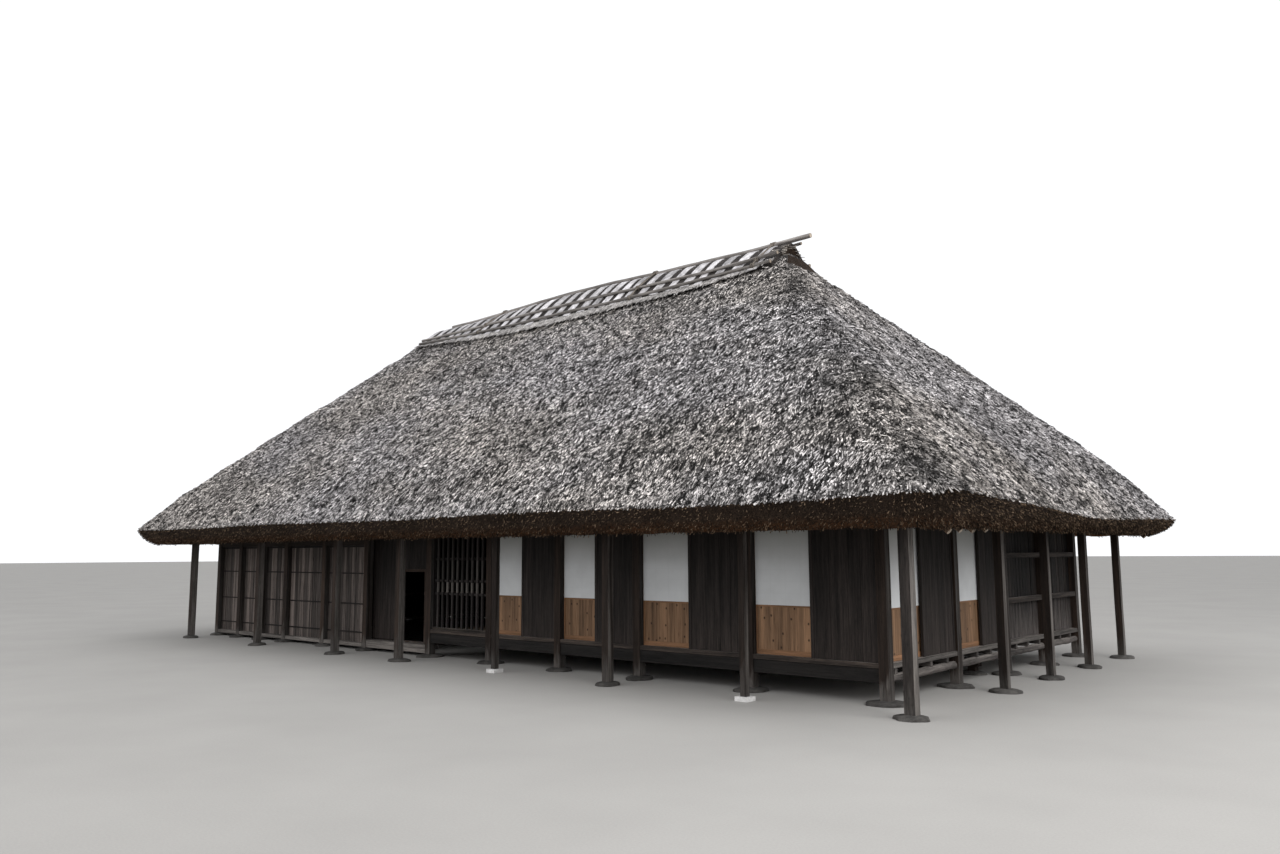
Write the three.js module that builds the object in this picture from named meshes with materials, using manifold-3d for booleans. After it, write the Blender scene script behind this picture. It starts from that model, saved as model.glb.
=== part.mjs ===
// Thatched farmhouse of posts and beams: a raised floor with sliding paper screens and board doors
// on the right, an earth-floored part with board walls and the entrance on the left.
// Millimetres, +Z up, origin on the ground under the middle of the roof, front towards -Y.
import * as THREE from 'three';
import { mergeVertices } from 'three/addons/utils/BufferGeometryUtils.js';
import Module from 'manifold-3d';

const wasm = await Module();
wasm.setup();

// Driving dimensions
const GAP = 0.3;                 // room between pieces that touch
const RUN = 6;                   // room around a sliding leaf
const POST = 120;                // side of a main post
const STONE = 50;                // height of a base stone

// Plan: outer faces of the posts
const RIGHT = 7727;
const LEFT = -7821;
const FRONT = -3182;
const BACK = 3380;
const FRONT_POSTS = [7667, 5874, 4056, 2541, 1026, -489, -2307, -3671, -5034, -5943, -6852, -7761];
const SIDE_POSTS = [-1286, 345, 1832];
const BACK_POSTS = [7667, 5874, 4056, 2541, 1026, -489, -2307, -3671, -5034, -6400, -7761];

// Posts under the eaves, on the front and on the right
const EAVE_Y = -3838;
const EAVE_X = 8301;
const FRONT_EAVE = [8301, 6270, 4147, 1957, -345, -2163, -4784, -7481];
const SIDE_EAVE = [-1369, 228, 1821, 3449];
const EAVE_POST = 122;
const EAVE_BEAM_Z = 2000;
const EAVE_BEAM_H = 130;

// Heights of the wall timbers
const BEAM_Z = 235;              // foot of the floor beam
const BEAM_H = 150;
const SILL_Z = 391;
const SILL_TOP = 447;
const HEAD_Z = 2204;             // underside of the door head
const PLATE_Z = 2350;
const PLATE_H = 130;
const TIE_H = 200;               // the beams across the house
const END_H = 110;               // the beams over the end walls
const GROUND_SILL_Z = 60;
const GROUND_SILL_TOP = 124;
const LINTEL_Z = 1838;
const LINTEL_TOP = 1990;

// Roof
const ROOF_X = 9050;             // half length at the eaves
const ROOF_Y = 4580;             // half width at the eaves
const GABLE_RIGHT = 4860;        // where the end slopes meet the small gables
const GABLE_LEFT = -4650;
const GABLE_HALF = 520;
const LIP_Z = 2200;              // upper edge of the cut eave
const UNDER_Z = 1900;            // lower edge of the cut eave
const UNDER_IN = 310;            // how far the lower edge is set back
const GABLE_Z = 6180;
// How far the thatch stands over a straight slope: full at the foot, with low waves up to the ridge
const SWELL = [
  [0, 0], [0.03, 40], [0.1, 80], [0.155, 112], [0.22, 96], [0.29, 124], [0.37, 88], [0.44, 108],
  [0.52, 66], [0.59, 84], [0.67, 40], [0.74, 52], [0.82, 12], [0.88, 22], [0.92, 6], [1, 0],
];

// Leaves
const SHOJI_T = 30;
const BOARD_T = 36;
const SHOJI_IN = 78;             // outer face of a paper screen behind the post face
const BOARD_IN = 26;             // outer face of a board door behind the post face
const SHOJI_SPLIT = 1041;        // foot of the paper

const group = new THREE.Group();

const paint = (colour, roughness = 0.85) =>
  new THREE.MeshStandardMaterial({ color: colour, roughness, metalness: 0 });
const THATCH = paint(0x6f6862, 1);
const BARK = paint(0x8d8578, 0.95);
const BAMBOO = paint(0x9a9184, 0.8);
const POST_WOOD = paint(0x4a3a31);
const DARK_WOOD = paint(0x3a2e28);
const BOARD_WOOD = paint(0x35291f);
const GREY_WOOD = paint(0x6b625a);
const HONEY_WOOD = paint(0x8f6840, 0.7);
const PAPER = paint(0xe9ecec, 0.9);
const ROOF_POLE = paint(0x5c4a3a);

// A closed geometry as a solid that can be cut and joined
function solid(geometry) {
  const bare = geometry.index ? geometry.toNonIndexed() : geometry.clone();
  bare.deleteAttribute('normal');
  bare.deleteAttribute('uv');
  const merged = mergeVertices(bare, 1e-4);
  const mesh = new wasm.Mesh({
    numProp: 3,
    vertProperties: new Float32Array(merged.attributes.position.array),
    triVerts: new Uint32Array(merged.index.array),
  });
  return new wasm.Manifold(mesh);
}

function block(x0, x1, y0, y1, z0, z1) {
  const box = new THREE.BoxGeometry(x1 - x0, y1 - y0, z1 - z0);
  box.translate((x0 + x1) / 2, (y0 + y1) / 2, (z0 + z1) / 2);
  return solid(box);
}

// A round pole from a to b
function pole(a, b, radius, sides = 6, topRadius = radius) {
  const from = new THREE.Vector3(...a);
  const to = new THREE.Vector3(...b);
  const along = to.clone().sub(from);
  const tube = new THREE.CylinderGeometry(topRadius, radius, along.length(), sides, 1);
  tube.applyQuaternion(new THREE.Quaternion().setFromUnitVectors(
    new THREE.Vector3(0, 1, 0), along.clone().normalize()));
  tube.translate(...from.add(to).multiplyScalar(0.5).toArray());
  return solid(tube);
}

// An outline of [u, z] points swept along X, or, turned, along Y
function sweepX(outline, x0, x1) {
  const shape = new THREE.Shape(outline.map(([u, z]) => new THREE.Vector2(u, z)));
  const bar = new THREE.ExtrudeGeometry(shape, { depth: x1 - x0, bevelEnabled: false });
  bar.applyMatrix4(new THREE.Matrix4().set(0, 0, 1, x0, 1, 0, 0, 0, 0, 1, 0, 0, 0, 0, 0, 1));
  return solid(bar);
}

function sweepY(outline, y0, y1) {
  const shape = new THREE.Shape(outline.map(([u, z]) => new THREE.Vector2(u, z)));
  const bar = new THREE.ExtrudeGeometry(shape, { depth: y1 - y0, bevelEnabled: false });
  bar.applyMatrix4(new THREE.Matrix4().set(1, 0, 0, 0, 0, 0, -1, y1, 0, 1, 0, 0, 0, 0, 0, 1));
  return solid(bar);
}

// An outline of [x, y] points raised from z0 to z1
function sweepZ(outline, z0, z1) {
  const shape = new THREE.Shape(outline.map(([x, y]) => new THREE.Vector2(x, y)));
  const bar = new THREE.ExtrudeGeometry(shape, { depth: z1 - z0, bevelEnabled: false });
  bar.translate(0, 0, z0);
  return solid(bar);
}

const join = (list) => list.reduce((sum, one) => sum.add(one));

function place(name, body, material) {
  const mesh = body.getMesh();
  const geometry = new THREE.BufferGeometry();
  const positions = [];
  for (let i = 0; i < mesh.vertProperties.length; i += mesh.numProp) {
    positions.push(mesh.vertProperties[i], mesh.vertProperties[i + 1], mesh.vertProperties[i + 2]);
  }
  geometry.setAttribute('position', new THREE.Float32BufferAttribute(positions, 3));
  geometry.setIndex(Array.from(mesh.triVerts));
  geometry.computeVertexNormals();
  const part = new THREE.Mesh(geometry, material);
  part.name = name;
  group.add(part);
}

// An uneven flat stone with seven sides; a post on a small size stands on a square block
function stone(x, y, size, turn) {
  const outline = [];
  for (let i = 0; i < 7; i += 1) {
    const angle = turn + (i / 7) * Math.PI * 2;
    const reach = size * (0.88 + 0.12 * Math.sin(i * 2.3 + turn * 5));
    outline.push([x + Math.cos(angle) * reach, y + Math.sin(angle) * reach * 0.85]);
  }
  return sweepZ(outline, 0, STONE);
}

function standing(x, y, side, top, size, turn) {
  const half = side / 2;
  const foot = size < 120 ? block(x - size, x + size, y - size, y + size, 0, STONE)
    : stone(x, y, size, turn);
  return [foot, block(x - half, x + half, y - half, y + half, STONE - 5, top)];
}

// Roof surfaces: share is 0 at the eave and 1 where the slope meets the small gable
const RISE = GABLE_Z - LIP_Z;
const RUN_Y = ROOF_Y - GABLE_HALF;
const RUN_RIGHT = ROOF_X - GABLE_RIGHT;
const RUN_LEFT = ROOF_X + GABLE_LEFT;
const UNDER_SHARE = UNDER_IN / RUN_Y;
const underZ = (share) => UNDER_Z + RISE * (share - UNDER_SHARE);
const shareY = (y) => (ROOF_Y - Math.abs(y)) / RUN_Y;
const shareRight = (x) => (ROOF_X - x) / RUN_RIGHT;
const shareLeft = (x) => (ROOF_X + x) / RUN_LEFT;

function slopeOutline(run, edge, sign, crown) {
  const at = (share) => sign * (edge - share * run);
  const outline = SWELL.map(([share, swell]) => [at(share), LIP_Z + RISE * share + swell]);
  if (crown) {
    outline.push([sign * 330, 6345], [sign * 120, 6440], [sign * GAP / 2, 6450]);
    outline.push([sign * GAP / 2, underZ(shareY(0))]);
  } else {
    outline.push([at(1), underZ(1)]);
  }
  outline.push([at(UNDER_SHARE), UNDER_Z]);
  return sign < 0 ? outline.reverse() : outline;
}

const MITRE = 0.25;
const farX = ROOF_X + 500;
const farY = ROOF_Y + 500;
const rightX = (y) => GABLE_RIGHT + (y - GABLE_HALF) * (RUN_RIGHT / RUN_Y);
const leftX = (y) => GABLE_LEFT - (y - GABLE_HALF) * (RUN_LEFT / RUN_Y);

function longSlope(sign) {
  const profile = sweepX(slopeOutline(RUN_Y, ROOF_Y, sign, true), -farX, farX);
  const plan = [
    [GABLE_RIGHT, 0], [GABLE_RIGHT, sign * GABLE_HALF], [rightX(farY) - MITRE, sign * farY],
    [leftX(farY) + MITRE, sign * farY], [GABLE_LEFT, sign * GABLE_HALF], [GABLE_LEFT, 0],
  ];
  return profile.intersect(sweepZ(sign > 0 ? plan : plan.reverse(), 0, 9000));
}

function endSlope(sign, run, gable, reach) {
  const profile = sweepY(slopeOutline(run, ROOF_X, sign, false), -farY, farY);
  const plan = [
    [gable + sign * GAP, -GABLE_HALF + MITRE], [reach, -farY + MITRE],
    [reach, farY - MITRE], [gable + sign * GAP, GABLE_HALF - MITRE],
  ];
  return profile.intersect(sweepZ(sign > 0 ? plan : plan.reverse(), 0, 9000));
}

place('thatch_front', longSlope(-1), THATCH);
place('thatch_back', longSlope(1), THATCH);
place('thatch_right', endSlope(1, RUN_RIGHT, GABLE_RIGHT, rightX(farY)), THATCH);
place('thatch_left', endSlope(-1, RUN_LEFT, GABLE_LEFT, leftX(farY)), THATCH);

// Ridge: a bark saddle that lies on the thatch, held down by six poles and rope bands
const CAP = [[830, 5890], [520, 6182], [330, 6346], [120, 6441], [0, 6451]];
const CAP_TOP = [[0, 6620], [110, 6594], [300, 6442], [490, 6265], [720, 6047], [830, 5940]];
const CAP_LEFT = -4480;
const CAP_RIGHT = 4660;
const CAP_ENDS = 600;            // half width at both ends
const mirrored = (points) => points.map(([y, z]) => [-y, z]);
const capOutline = [
  ...CAP, ...mirrored(CAP.slice(0, -1).reverse()),
  ...mirrored(CAP_TOP.slice().reverse()), ...CAP_TOP.slice(1),
];
const capPlan = [
  [CAP_LEFT, -CAP_ENDS], [-2600, -830], [3000, -830], [CAP_RIGHT, -CAP_ENDS],
  [CAP_RIGHT, CAP_ENDS], [3000, 830], [-2600, 830], [CAP_LEFT, CAP_ENDS],
];
place('ridge_cap', sweepX(capOutline.reverse(), CAP_LEFT, CAP_RIGHT)
  .intersect(sweepZ(capPlan, 5000, 7000)), BARK);

const POLE_TOP_Z = 6660.4;
const ridgePoles = [
  pole([-4020, 0, POLE_TOP_Z], [5020, 0, POLE_TOP_Z + 25], 40, 8),
  pole([-4300, 125, 6615.7], [4770, 125, 6615.7], 26, 6),
];
for (const sign of [-1, 1]) {
  ridgePoles.push(pole([-4450, sign * 490, 6303.6], [4680, sign * 490, 6303.6], 28, 6));
  ridgePoles.push(pole([-4400, sign * 720, 6085.9], [4640, sign * 720, 6085.9], 28, 6));
}
const BAND = [[0, POLE_TOP_Z + 20], [130, 6625], [490, 6330], [720, 6110]];
for (const x of [-2300, 1800, 4320]) {
  for (const sign of [-1, 1]) {
    for (let i = 1; i < BAND.length; i += 1) {
      const [[y0, z0], [y1, z1]] = [BAND[i - 1], BAND[i]];
      ridgePoles.push(pole([x, sign * y0, z0], [x, sign * y1, z1], 14, 6));
    }
  }
}
place('ridge_poles', join(ridgePoles), BAMBOO);

// Roof timbers
const RAFTER = 42;
const PURLIN = 50;
const slopeY = RISE / RUN_Y;
const dropY = Math.sqrt(1 + slopeY * slopeY);
const FRONT_CENTRE = FRONT + POST / 2;
const BACK_CENTRE = BACK - POST / 2;
const TIE_TOP = PLATE_Z + PLATE_H + TIE_H;
const END_TOP = PLATE_Z + PLATE_H + END_H;
const rafterZ = (y) => underZ(shareY(y)) - (RAFTER + GAP) * dropY;

function hipPoint(side, y) {
  const x = side > 0 ? rightX(Math.abs(y)) : leftX(Math.abs(y));
  return [x, y, rafterZ(y) - 8];
}

function longRafters(sign) {
  const parts = [];
  const low = sign * (ROOF_Y - UNDER_IN - 40);
  for (let x = -8100; x <= 8160; x += 900) {
    let top = sign * 60;
    const hipY = x > GABLE_RIGHT ? GABLE_HALF + (x - GABLE_RIGHT) * (RUN_Y / RUN_RIGHT)
      : x < GABLE_LEFT ? GABLE_HALF + (GABLE_LEFT - x) * (RUN_Y / RUN_LEFT) : 0;
    if (hipY) top = sign * (hipY + 45);
    parts.push(pole([x, low, rafterZ(low)], [x, top, rafterZ(top)], RAFTER, 4));
  }
  for (const side of [-1, 1]) {
    parts.push(pole(hipPoint(side, low), hipPoint(side, sign * 560), 46, 4));
  }
  for (const y of [sign * 1900, sign * 700]) {
    const reachR = rightX(Math.abs(y));
    const reachL = leftX(Math.abs(y));
    const z = rafterZ(y) - 0.6 * (RAFTER + PURLIN) * dropY;
    parts.push(pole([reachL, y, z], [reachR, y, z], PURLIN, 4));
  }
  const eave = sign < 0 ? EAVE_Y : 3900;
  parts.push(block(leftX(Math.abs(eave)), rightX(Math.abs(eave)), eave - 45, eave + 45,
    rafterZ(eave) - 133, rafterZ(eave) - 13));
  const wallY = sign < 0 ? FRONT_CENTRE : BACK_CENTRE;
  parts.push(block(leftX(Math.abs(wallY)), rightX(Math.abs(wallY)), wallY - 60, wallY + 60,
    TIE_TOP + GAP, rafterZ(wallY) - 25));
  return join(parts);
}

place('rafters_front', longRafters(-1), ROOF_POLE);
place('rafters_back', longRafters(1), ROOF_POLE);

const dropEnd = (run) => Math.sqrt(1 + (RISE / run) ** 2);
const rafterEndZ = (share, run, x) => underZ(share(x)) - (RAFTER + GAP) * dropEnd(run);

function endRafters(sign, run, gable, share, wallX, eaveX) {
  const drop = dropEnd(run);
  const centre = (x) => rafterEndZ(share, run, x);
  const halfAt = (x) => GABLE_HALF + Math.abs(x - gable) * (RUN_Y / run) - 190;
  const parts = [];
  const low = sign * (ROOF_X - UNDER_SHARE * run - 40);
  for (const y of [-3600, -2700, -1800, -900, 0, 900, 1800, 2700, 3600]) {
    const hip = Math.max(0, Math.abs(y) - GABLE_HALF) * (run / RUN_Y);
    const top = gable + sign * (hip + (hip ? 190 : 260));
    parts.push(pole([low, y, centre(low)], [top, y, centre(top)], RAFTER, 4));
  }
  for (const x of [gable + sign * 700, gable + sign * 1800]) {
    const z = centre(x) - 0.6 * (RAFTER + PURLIN) * drop;
    parts.push(pole([x, -halfAt(x), z], [x, halfAt(x), z], PURLIN, 4));
  }
  parts.push(block(wallX - 60, wallX + 60, -halfAt(wallX), halfAt(wallX),
    END_TOP + GAP, centre(wallX) - 25));
  parts.push(block(eaveX - 45, eaveX + 45, -halfAt(eaveX), halfAt(eaveX),
    centre(eaveX) - 133, centre(eaveX) - 13));
  return join(parts);
}

const RIGHT_CENTRE = RIGHT - POST / 2;
const LEFT_CENTRE = LEFT + POST / 2;
place('rafters_right',
  endRafters(1, RUN_RIGHT, GABLE_RIGHT, shareRight, RIGHT_CENTRE, EAVE_X), ROOF_POLE);
place('rafters_left',
  endRafters(-1, RUN_LEFT, GABLE_LEFT, shareLeft, LEFT_CENTRE, -8250), ROOF_POLE);

// Cross frames: a tie beam over the wall plates and two slanting legs under the ridge
const PLATE_TOP = PLATE_Z + PLATE_H;
const APEX_Z = 5789;
const FOOT_Y = 3030;
const LEG = 210;
for (const [i, x] of [4050, 1350, -1350, -4050].entries()) {
  const legs = sweepX([
    [-FOOT_Y, TIE_TOP - 10], [-FOOT_Y + LEG, TIE_TOP - 10], [0, APEX_Z - 240],
    [FOOT_Y - LEG, TIE_TOP - 10], [FOOT_Y, TIE_TOP - 10], [60, APEX_Z], [-60, APEX_Z],
  ], x - 60, x + 60);
  const tie = block(x - 90, x + 90, FRONT - 60, BACK - 10, PLATE_TOP + GAP, TIE_TOP);
  place(`cross_frame_${i + 1}`, legs.add(tie), ROOF_POLE);
}
place('ridge_beam', block(GABLE_LEFT + 60, GABLE_RIGHT - 60, -60, 60, APEX_Z + GAP, APEX_Z + 110),
  ROOF_POLE);
for (const [name, x] of [['end_beam_right', RIGHT_CENTRE], ['end_beam_left', LEFT_CENTRE]]) {
  place(name, block(x - 60, x + 60, FRONT - 60, BACK - 10, PLATE_TOP + GAP, END_TOP), ROOF_POLE);
}

// Eave posts and the beams they carry
const EAVE_TOP = rafterZ(EAVE_Y) - 133 - GAP;
const eaveFront = FRONT_EAVE.flatMap((x, i) =>
  standing(x, EAVE_Y, EAVE_POST, EAVE_BEAM_Z + 5, i === 1 || i === 3 ? 85 : 190, i * 0.9));
eaveFront.push(block(-8350, EAVE_X + 61, EAVE_Y - 55, EAVE_Y + 55, EAVE_BEAM_Z, EAVE_TOP));
place('eave_frame_front', join(eaveFront), POST_WOOD);
const eaveRight = SIDE_EAVE.flatMap((y, i) =>
  standing(EAVE_X, y, EAVE_POST, EAVE_BEAM_Z + 5, 195, i * 1.1 + 0.4));
eaveRight.push(block(EAVE_X - 55, EAVE_X + 55, EAVE_Y + 61 + GAP, 3850, EAVE_BEAM_Z,
  rafterEndZ(shareRight, RUN_RIGHT, EAVE_X) - 133 - GAP));
place('eave_frame_right', join(eaveRight), POST_WOOD);

// Walls: posts, plates, floor beams, sills and door heads
const P4 = FRONT_POSTS[4];
const P5 = FRONT_POSTS[5];
const P7 = FRONT_POSTS[6];
const LAST = FRONT_POSTS[FRONT_POSTS.length - 1];
const HALF = POST / 2;
const frontFrame = FRONT_POSTS.flatMap((x, i) =>
  standing(x, FRONT_CENTRE, POST, PLATE_Z + 5, i === 0 ? 260 : 225, i * 0.8 + 0.3));
frontFrame.push(
  block(LEFT, RIGHT, FRONT + 5, FRONT + POST - 5, PLATE_Z, PLATE_TOP),
  block(P5, FRONT_POSTS[0], FRONT + 15, FRONT + 95, BEAM_Z, BEAM_Z + BEAM_H),
  block(P5, FRONT_POSTS[0], FRONT + 8, FRONT + 114, SILL_Z, SILL_TOP),
  block(P5, FRONT_POSTS[0], FRONT + 12, FRONT + 114, HEAD_Z, PLATE_Z + 5),
  block(LAST, P5, FRONT + 8, FRONT + 112, GROUND_SILL_Z, GROUND_SILL_TOP),
  block(LAST, P7, FRONT + 8, FRONT + 72 - GAP, LINTEL_Z, LINTEL_TOP),
  block(P7, P5, FRONT + 8, FRONT + 112, LINTEL_TOP + 5, LINTEL_TOP + 120),
);
// Threshold and the inner rails that the great door runs on
const RAIL_END = -4250;
const DOOR_IN = 166;
const DOOR_T = 50;
frontFrame.push(
  block(P7, P5, FRONT + 8, FRONT + 222, GROUND_SILL_TOP - 5, 187),
  block(RAIL_END, P5 - HALF, FRONT + 158, FRONT + 222, GROUND_SILL_TOP, 187),
  block(RAIL_END, P5 + HALF, FRONT + 158, FRONT + 222, LINTEL_TOP + 5, LINTEL_TOP + 65),
);
for (const x of [P5, P7, FRONT_POSTS[7]]) {
  frontFrame.push(block(x - 50, x + 50, FRONT + POST - 5, FRONT + 160, LINTEL_TOP + 5,
    LINTEL_TOP + 65));
}
place('front_wall_frame', join(frontFrame), POST_WOOD);

const rightFrame = SIDE_POSTS.flatMap((y, i) =>
  standing(RIGHT_CENTRE, y, POST, PLATE_Z + 5, 225, i * 1.3 + 0.2));
const RAIL0 = FRONT + POST + GAP;
const RAIL1 = BACK - POST - GAP;
const S1 = SIDE_POSTS[0];
const S2 = SIDE_POSTS[1];
rightFrame.push(
  block(RIGHT - POST + 5, RIGHT - 5, RAIL0, RAIL1, PLATE_Z, PLATE_TOP),
  sweepY([[RIGHT - 112, 258], [RIGHT - 90, BEAM_Z], [RIGHT - 38, BEAM_Z], [RIGHT - 14, 258],
    [RIGHT - 14, 296], [RIGHT - 38, 320], [RIGHT - 90, 320], [RIGHT - 112, 296]], RAIL0, RAIL1),
  block(RIGHT - 114, RIGHT - 8, RAIL0, RAIL1, SILL_Z, SILL_TOP),
  block(RIGHT - 114, RIGHT - 12, RAIL0, S2, HEAD_Z, PLATE_Z + 5),
  block(RIGHT - 72 + GAP, RIGHT - 8, S2, RAIL1, 950, 1020),
  block(RIGHT - 72 + GAP, RIGHT - 8, S2, RAIL1, 1570, 1640),
);
place('right_wall_frame', join(rightFrame), POST_WOOD);

const leftFrame = SIDE_POSTS.flatMap((y, i) =>
  standing(LEFT_CENTRE, y, POST, PLATE_Z + 5, 225, i * 1.7 + 0.1));
leftFrame.push(
  block(LEFT + 5, LEFT + POST - 5, RAIL0, RAIL1, PLATE_Z, PLATE_TOP),
  block(LEFT + 8, LEFT + 112, RAIL0, RAIL1, GROUND_SILL_Z, GROUND_SILL_TOP),
  block(LEFT + 8, LEFT + 72 - GAP, RAIL0, RAIL1, LINTEL_Z, LINTEL_TOP),
);
place('left_wall_frame', join(leftFrame), POST_WOOD);

const backFrame = BACK_POSTS.flatMap((x, i) =>
  standing(x, BACK_CENTRE, POST, PLATE_Z + 5, 225, i * 0.6 + 0.7));
backFrame.push(
  block(LEFT, RIGHT, BACK - POST + 5, BACK - 5, PLATE_Z, PLATE_TOP),
  block(P5, BACK_POSTS[0], BACK - 95, BACK - 15, BEAM_Z, BEAM_Z + BEAM_H),
  block(P5, BACK_POSTS[0], BACK - 114, BACK - 8, SILL_Z, SILL_TOP),
  block(LAST, P5, BACK - 112, BACK - 8, GROUND_SILL_Z, GROUND_SILL_TOP),
  block(LAST, BACK_POSTS[0], BACK - 72 + GAP, BACK - 8, LINTEL_Z, LINTEL_TOP),
);
place('back_wall_frame', join(backFrame), POST_WOOD);

// Board walls: a panel in each bay, held by battens that run behind the posts
const BATTENS = [640, 1500, 2240];
function spans(posts) {
  const sorted = [...posts].sort((a, b) => a - b);
  return sorted.slice(1).map((end, i) => [sorted[i] + HALF + GAP, end - HALF - GAP]);
}

function boardsAlongX(posts, face, inward, foot) {
  const at = (depth) => face + inward * depth;
  const slab = (x0, x1, near, far, z0, z1) =>
    block(x0, x1, Math.min(at(near), at(far)), Math.max(at(near), at(far)), z0, z1);
  const bays = spans(posts);
  const parts = bays.map(([x0, x1]) => slab(x0, x1, 72, POST - 1, foot(x0) + GAP, PLATE_Z - GAP));
  const from = bays[0][0] + 40;
  const to = bays[bays.length - 1][1] - 40;
  for (const z of BATTENS) {
    parts.push(slab(from, to, POST + GAP, 150, z, z + 70));
    for (const [a, b] of bays) parts.push(slab(a + 40, b - 40, POST - 10, 140, z, z + 70));
  }
  return join(parts);
}

function boardsAlongY(posts, face, inward, foot) {
  const at = (depth) => face + inward * depth;
  const slab = (y0, y1, near, far, z0, z1) =>
    block(Math.min(at(near), at(far)), Math.max(at(near), at(far)), y0, y1, z0, z1);
  const bays = spans(posts);
  const parts = bays.map(([y0, y1]) => slab(y0, y1, 72, POST - 1, foot + GAP, PLATE_Z - GAP));
  const from = bays[0][0] + 40;
  const to = bays[bays.length - 1][1] - 40;
  for (const z of BATTENS) {
    parts.push(slab(from, to, POST + GAP, 150, z, z + 70));
    for (const [a, b] of bays) parts.push(slab(a + 40, b - 40, POST - 10, 140, z, z + 70));
  }
  return join(parts);
}

place('front_board_wall',
  boardsAlongX(FRONT_POSTS.slice(6), FRONT, 1, () => GROUND_SILL_TOP), GREY_WOOD);
place('back_board_wall',
  boardsAlongX(BACK_POSTS, BACK, -1, (x) => (x > P5 ? SILL_TOP : GROUND_SILL_TOP)), GREY_WOOD);
place('right_board_wall',
  boardsAlongY([S2, SIDE_POSTS[2], BACK - HALF], RIGHT, -1, SILL_TOP), BOARD_WOOD);
place('left_board_wall',
  boardsAlongY([FRONT_CENTRE, ...SIDE_POSTS, BACK_CENTRE], LEFT, 1, GROUND_SILL_TOP), GREY_WOOD);

// Boards over the entrance
place('entrance_boards', block(P7 + HALF + GAP, P5 - HALF - GAP, FRONT + 45, FRONT + 90,
  LINTEL_TOP + 120 + GAP, PLATE_Z - GAP), BOARD_WOOD);

// Lattice window: upright bars with cross rails behind them
const latticeX0 = P5 + HALF + GAP;
const latticeX1 = P4 - HALF - GAP;
const latticeZ0 = SILL_TOP + GAP;
const latticeZ1 = HEAD_Z - GAP;
const BARS = 15;
const lattice = [
  block(latticeX0, latticeX1, FRONT + 30, FRONT + 100, latticeZ0, latticeZ0 + 40),
  block(latticeX0, latticeX1, FRONT + 30, FRONT + 100, latticeZ1 - 50, latticeZ1),
  block(latticeX0, latticeX0 + 35, FRONT + 30, FRONT + 100, latticeZ0, latticeZ1),
  block(latticeX1 - 35, latticeX1, FRONT + 30, FRONT + 100, latticeZ0, latticeZ1),
];
for (let i = 1; i <= BARS; i += 1) {
  const x = latticeX0 + 17 + (i * (latticeX1 - latticeX0 - 34)) / (BARS + 1);
  lattice.push(block(x - 17, x + 17, FRONT + 34, FRONT + 68, latticeZ0 + 20, latticeZ1 - 20));
}
for (const z of [1010, 1220, 1570]) {
  lattice.push(block(latticeX0 + 10, latticeX1 - 10, FRONT + 62, FRONT + 84, z, z + 34));
}
place('lattice_window', join(lattice), POST_WOOD);

// Raised floor: boards on joists that run the length of the rooms, over cross beams on short posts
const deck = [block(P5 + HALF, RIGHT - 126, FRONT + 160, BACK - 156, 386, 440)];
for (let y = -2950; y <= 3150; y += 455) {
  deck.push(block(P5 + HALF, RIGHT - 30, y - 30, y + 30, 320 + GAP, SILL_Z - GAP));
}
place('floor', join(deck), GREY_WOOD);
const FLOOR_BEAMS = [5874, 4056, 2541, 1026, -489];
const under = FLOOR_BEAMS.map((x) => block(x - 60, x + 60, RAIL0, RAIL1, 190, 320));
under.push(block(P5 - 60, 7400, 40, 160, 110, 195));
for (const [i, x] of [7300, 4965, 1783, -300].entries()) {
  under.push(...standing(x, 100, 110, 115, 190, i * 1.9));
}
place('floor_beams', join(under), DARK_WOOD);

// Sliding leaves: in each bay a paper screen at one side and a board door at the other
const LEAF_Z0 = SILL_TOP + 0.5;
const LEAF_Z1 = HEAD_Z - RUN;
function screen(from, to, face, alongX) {
  const inward = alongX ? 1 : -1;
  const slab = (u0, u1, d0, d1, z0, z1) => {
    const near = face + inward * d0;
    const far = face + inward * d1;
    return alongX ? block(u0, u1, near, far, z0, z1) : block(far, near, u0, u1, z0, z1);
  };
  const whole = slab(from, to, 0, SHOJI_T, LEAF_Z0, LEAF_Z1);
  const pane = slab(from + 36, to - 36, -1, 3, SHOJI_SPLIT + 12, LEAF_Z1 - 40);
  const paneBack = slab(from + 36, to - 36, 10, SHOJI_T + 1, SHOJI_SPLIT + 12, LEAF_Z1 - 40);
  const board = slab(from + 36, to - 36, -1, 6, LEAF_Z0 + 60, SHOJI_SPLIT - 14);
  const boardBack = slab(from + 36, to - 36, 18, SHOJI_T + 1, LEAF_Z0 + 60, SHOJI_SPLIT - 14);
  return whole.subtract(join([pane, paneBack, board, boardBack]));
}

function boardDoor(from, to, face, alongX) {
  return alongX ? block(from, to, face, face + BOARD_T, LEAF_Z0, LEAF_Z1)
    : block(face - BOARD_T, face, from, to, LEAF_Z0, LEAF_Z1);
}

const leafBays = [
  ...[[4056, 5874], [5874, 7667]].reverse(), [2541, 4056], [1026, 2541],
].map(([from, to]) => ({ from, to, alongX: true }));
leafBays.push({ from: FRONT_CENTRE, to: S1, alongX: false });
leafBays.push({ from: S1, to: S2, alongX: false });
const leafNames = ['front_1', 'front_2', 'front_3', 'front_4', 'side_1', 'side_2'];
for (const [i, bay] of leafBays.entries()) {
  const lo = bay.from + HALF + RUN;
  const hi = bay.to - HALF - RUN;
  const width = (hi - lo) / 2 + 34;
  const face = bay.alongX ? FRONT : RIGHT;
  const inward = bay.alongX ? 1 : -1;
  place(`screen_${leafNames[i]}`,
    screen(lo, lo + width, face + inward * SHOJI_IN, bay.alongX), PAPER);
  place(`board_door_${leafNames[i]}`,
    boardDoor(hi - width, hi, face + inward * BOARD_IN, bay.alongX), BOARD_WOOD);
}

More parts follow.
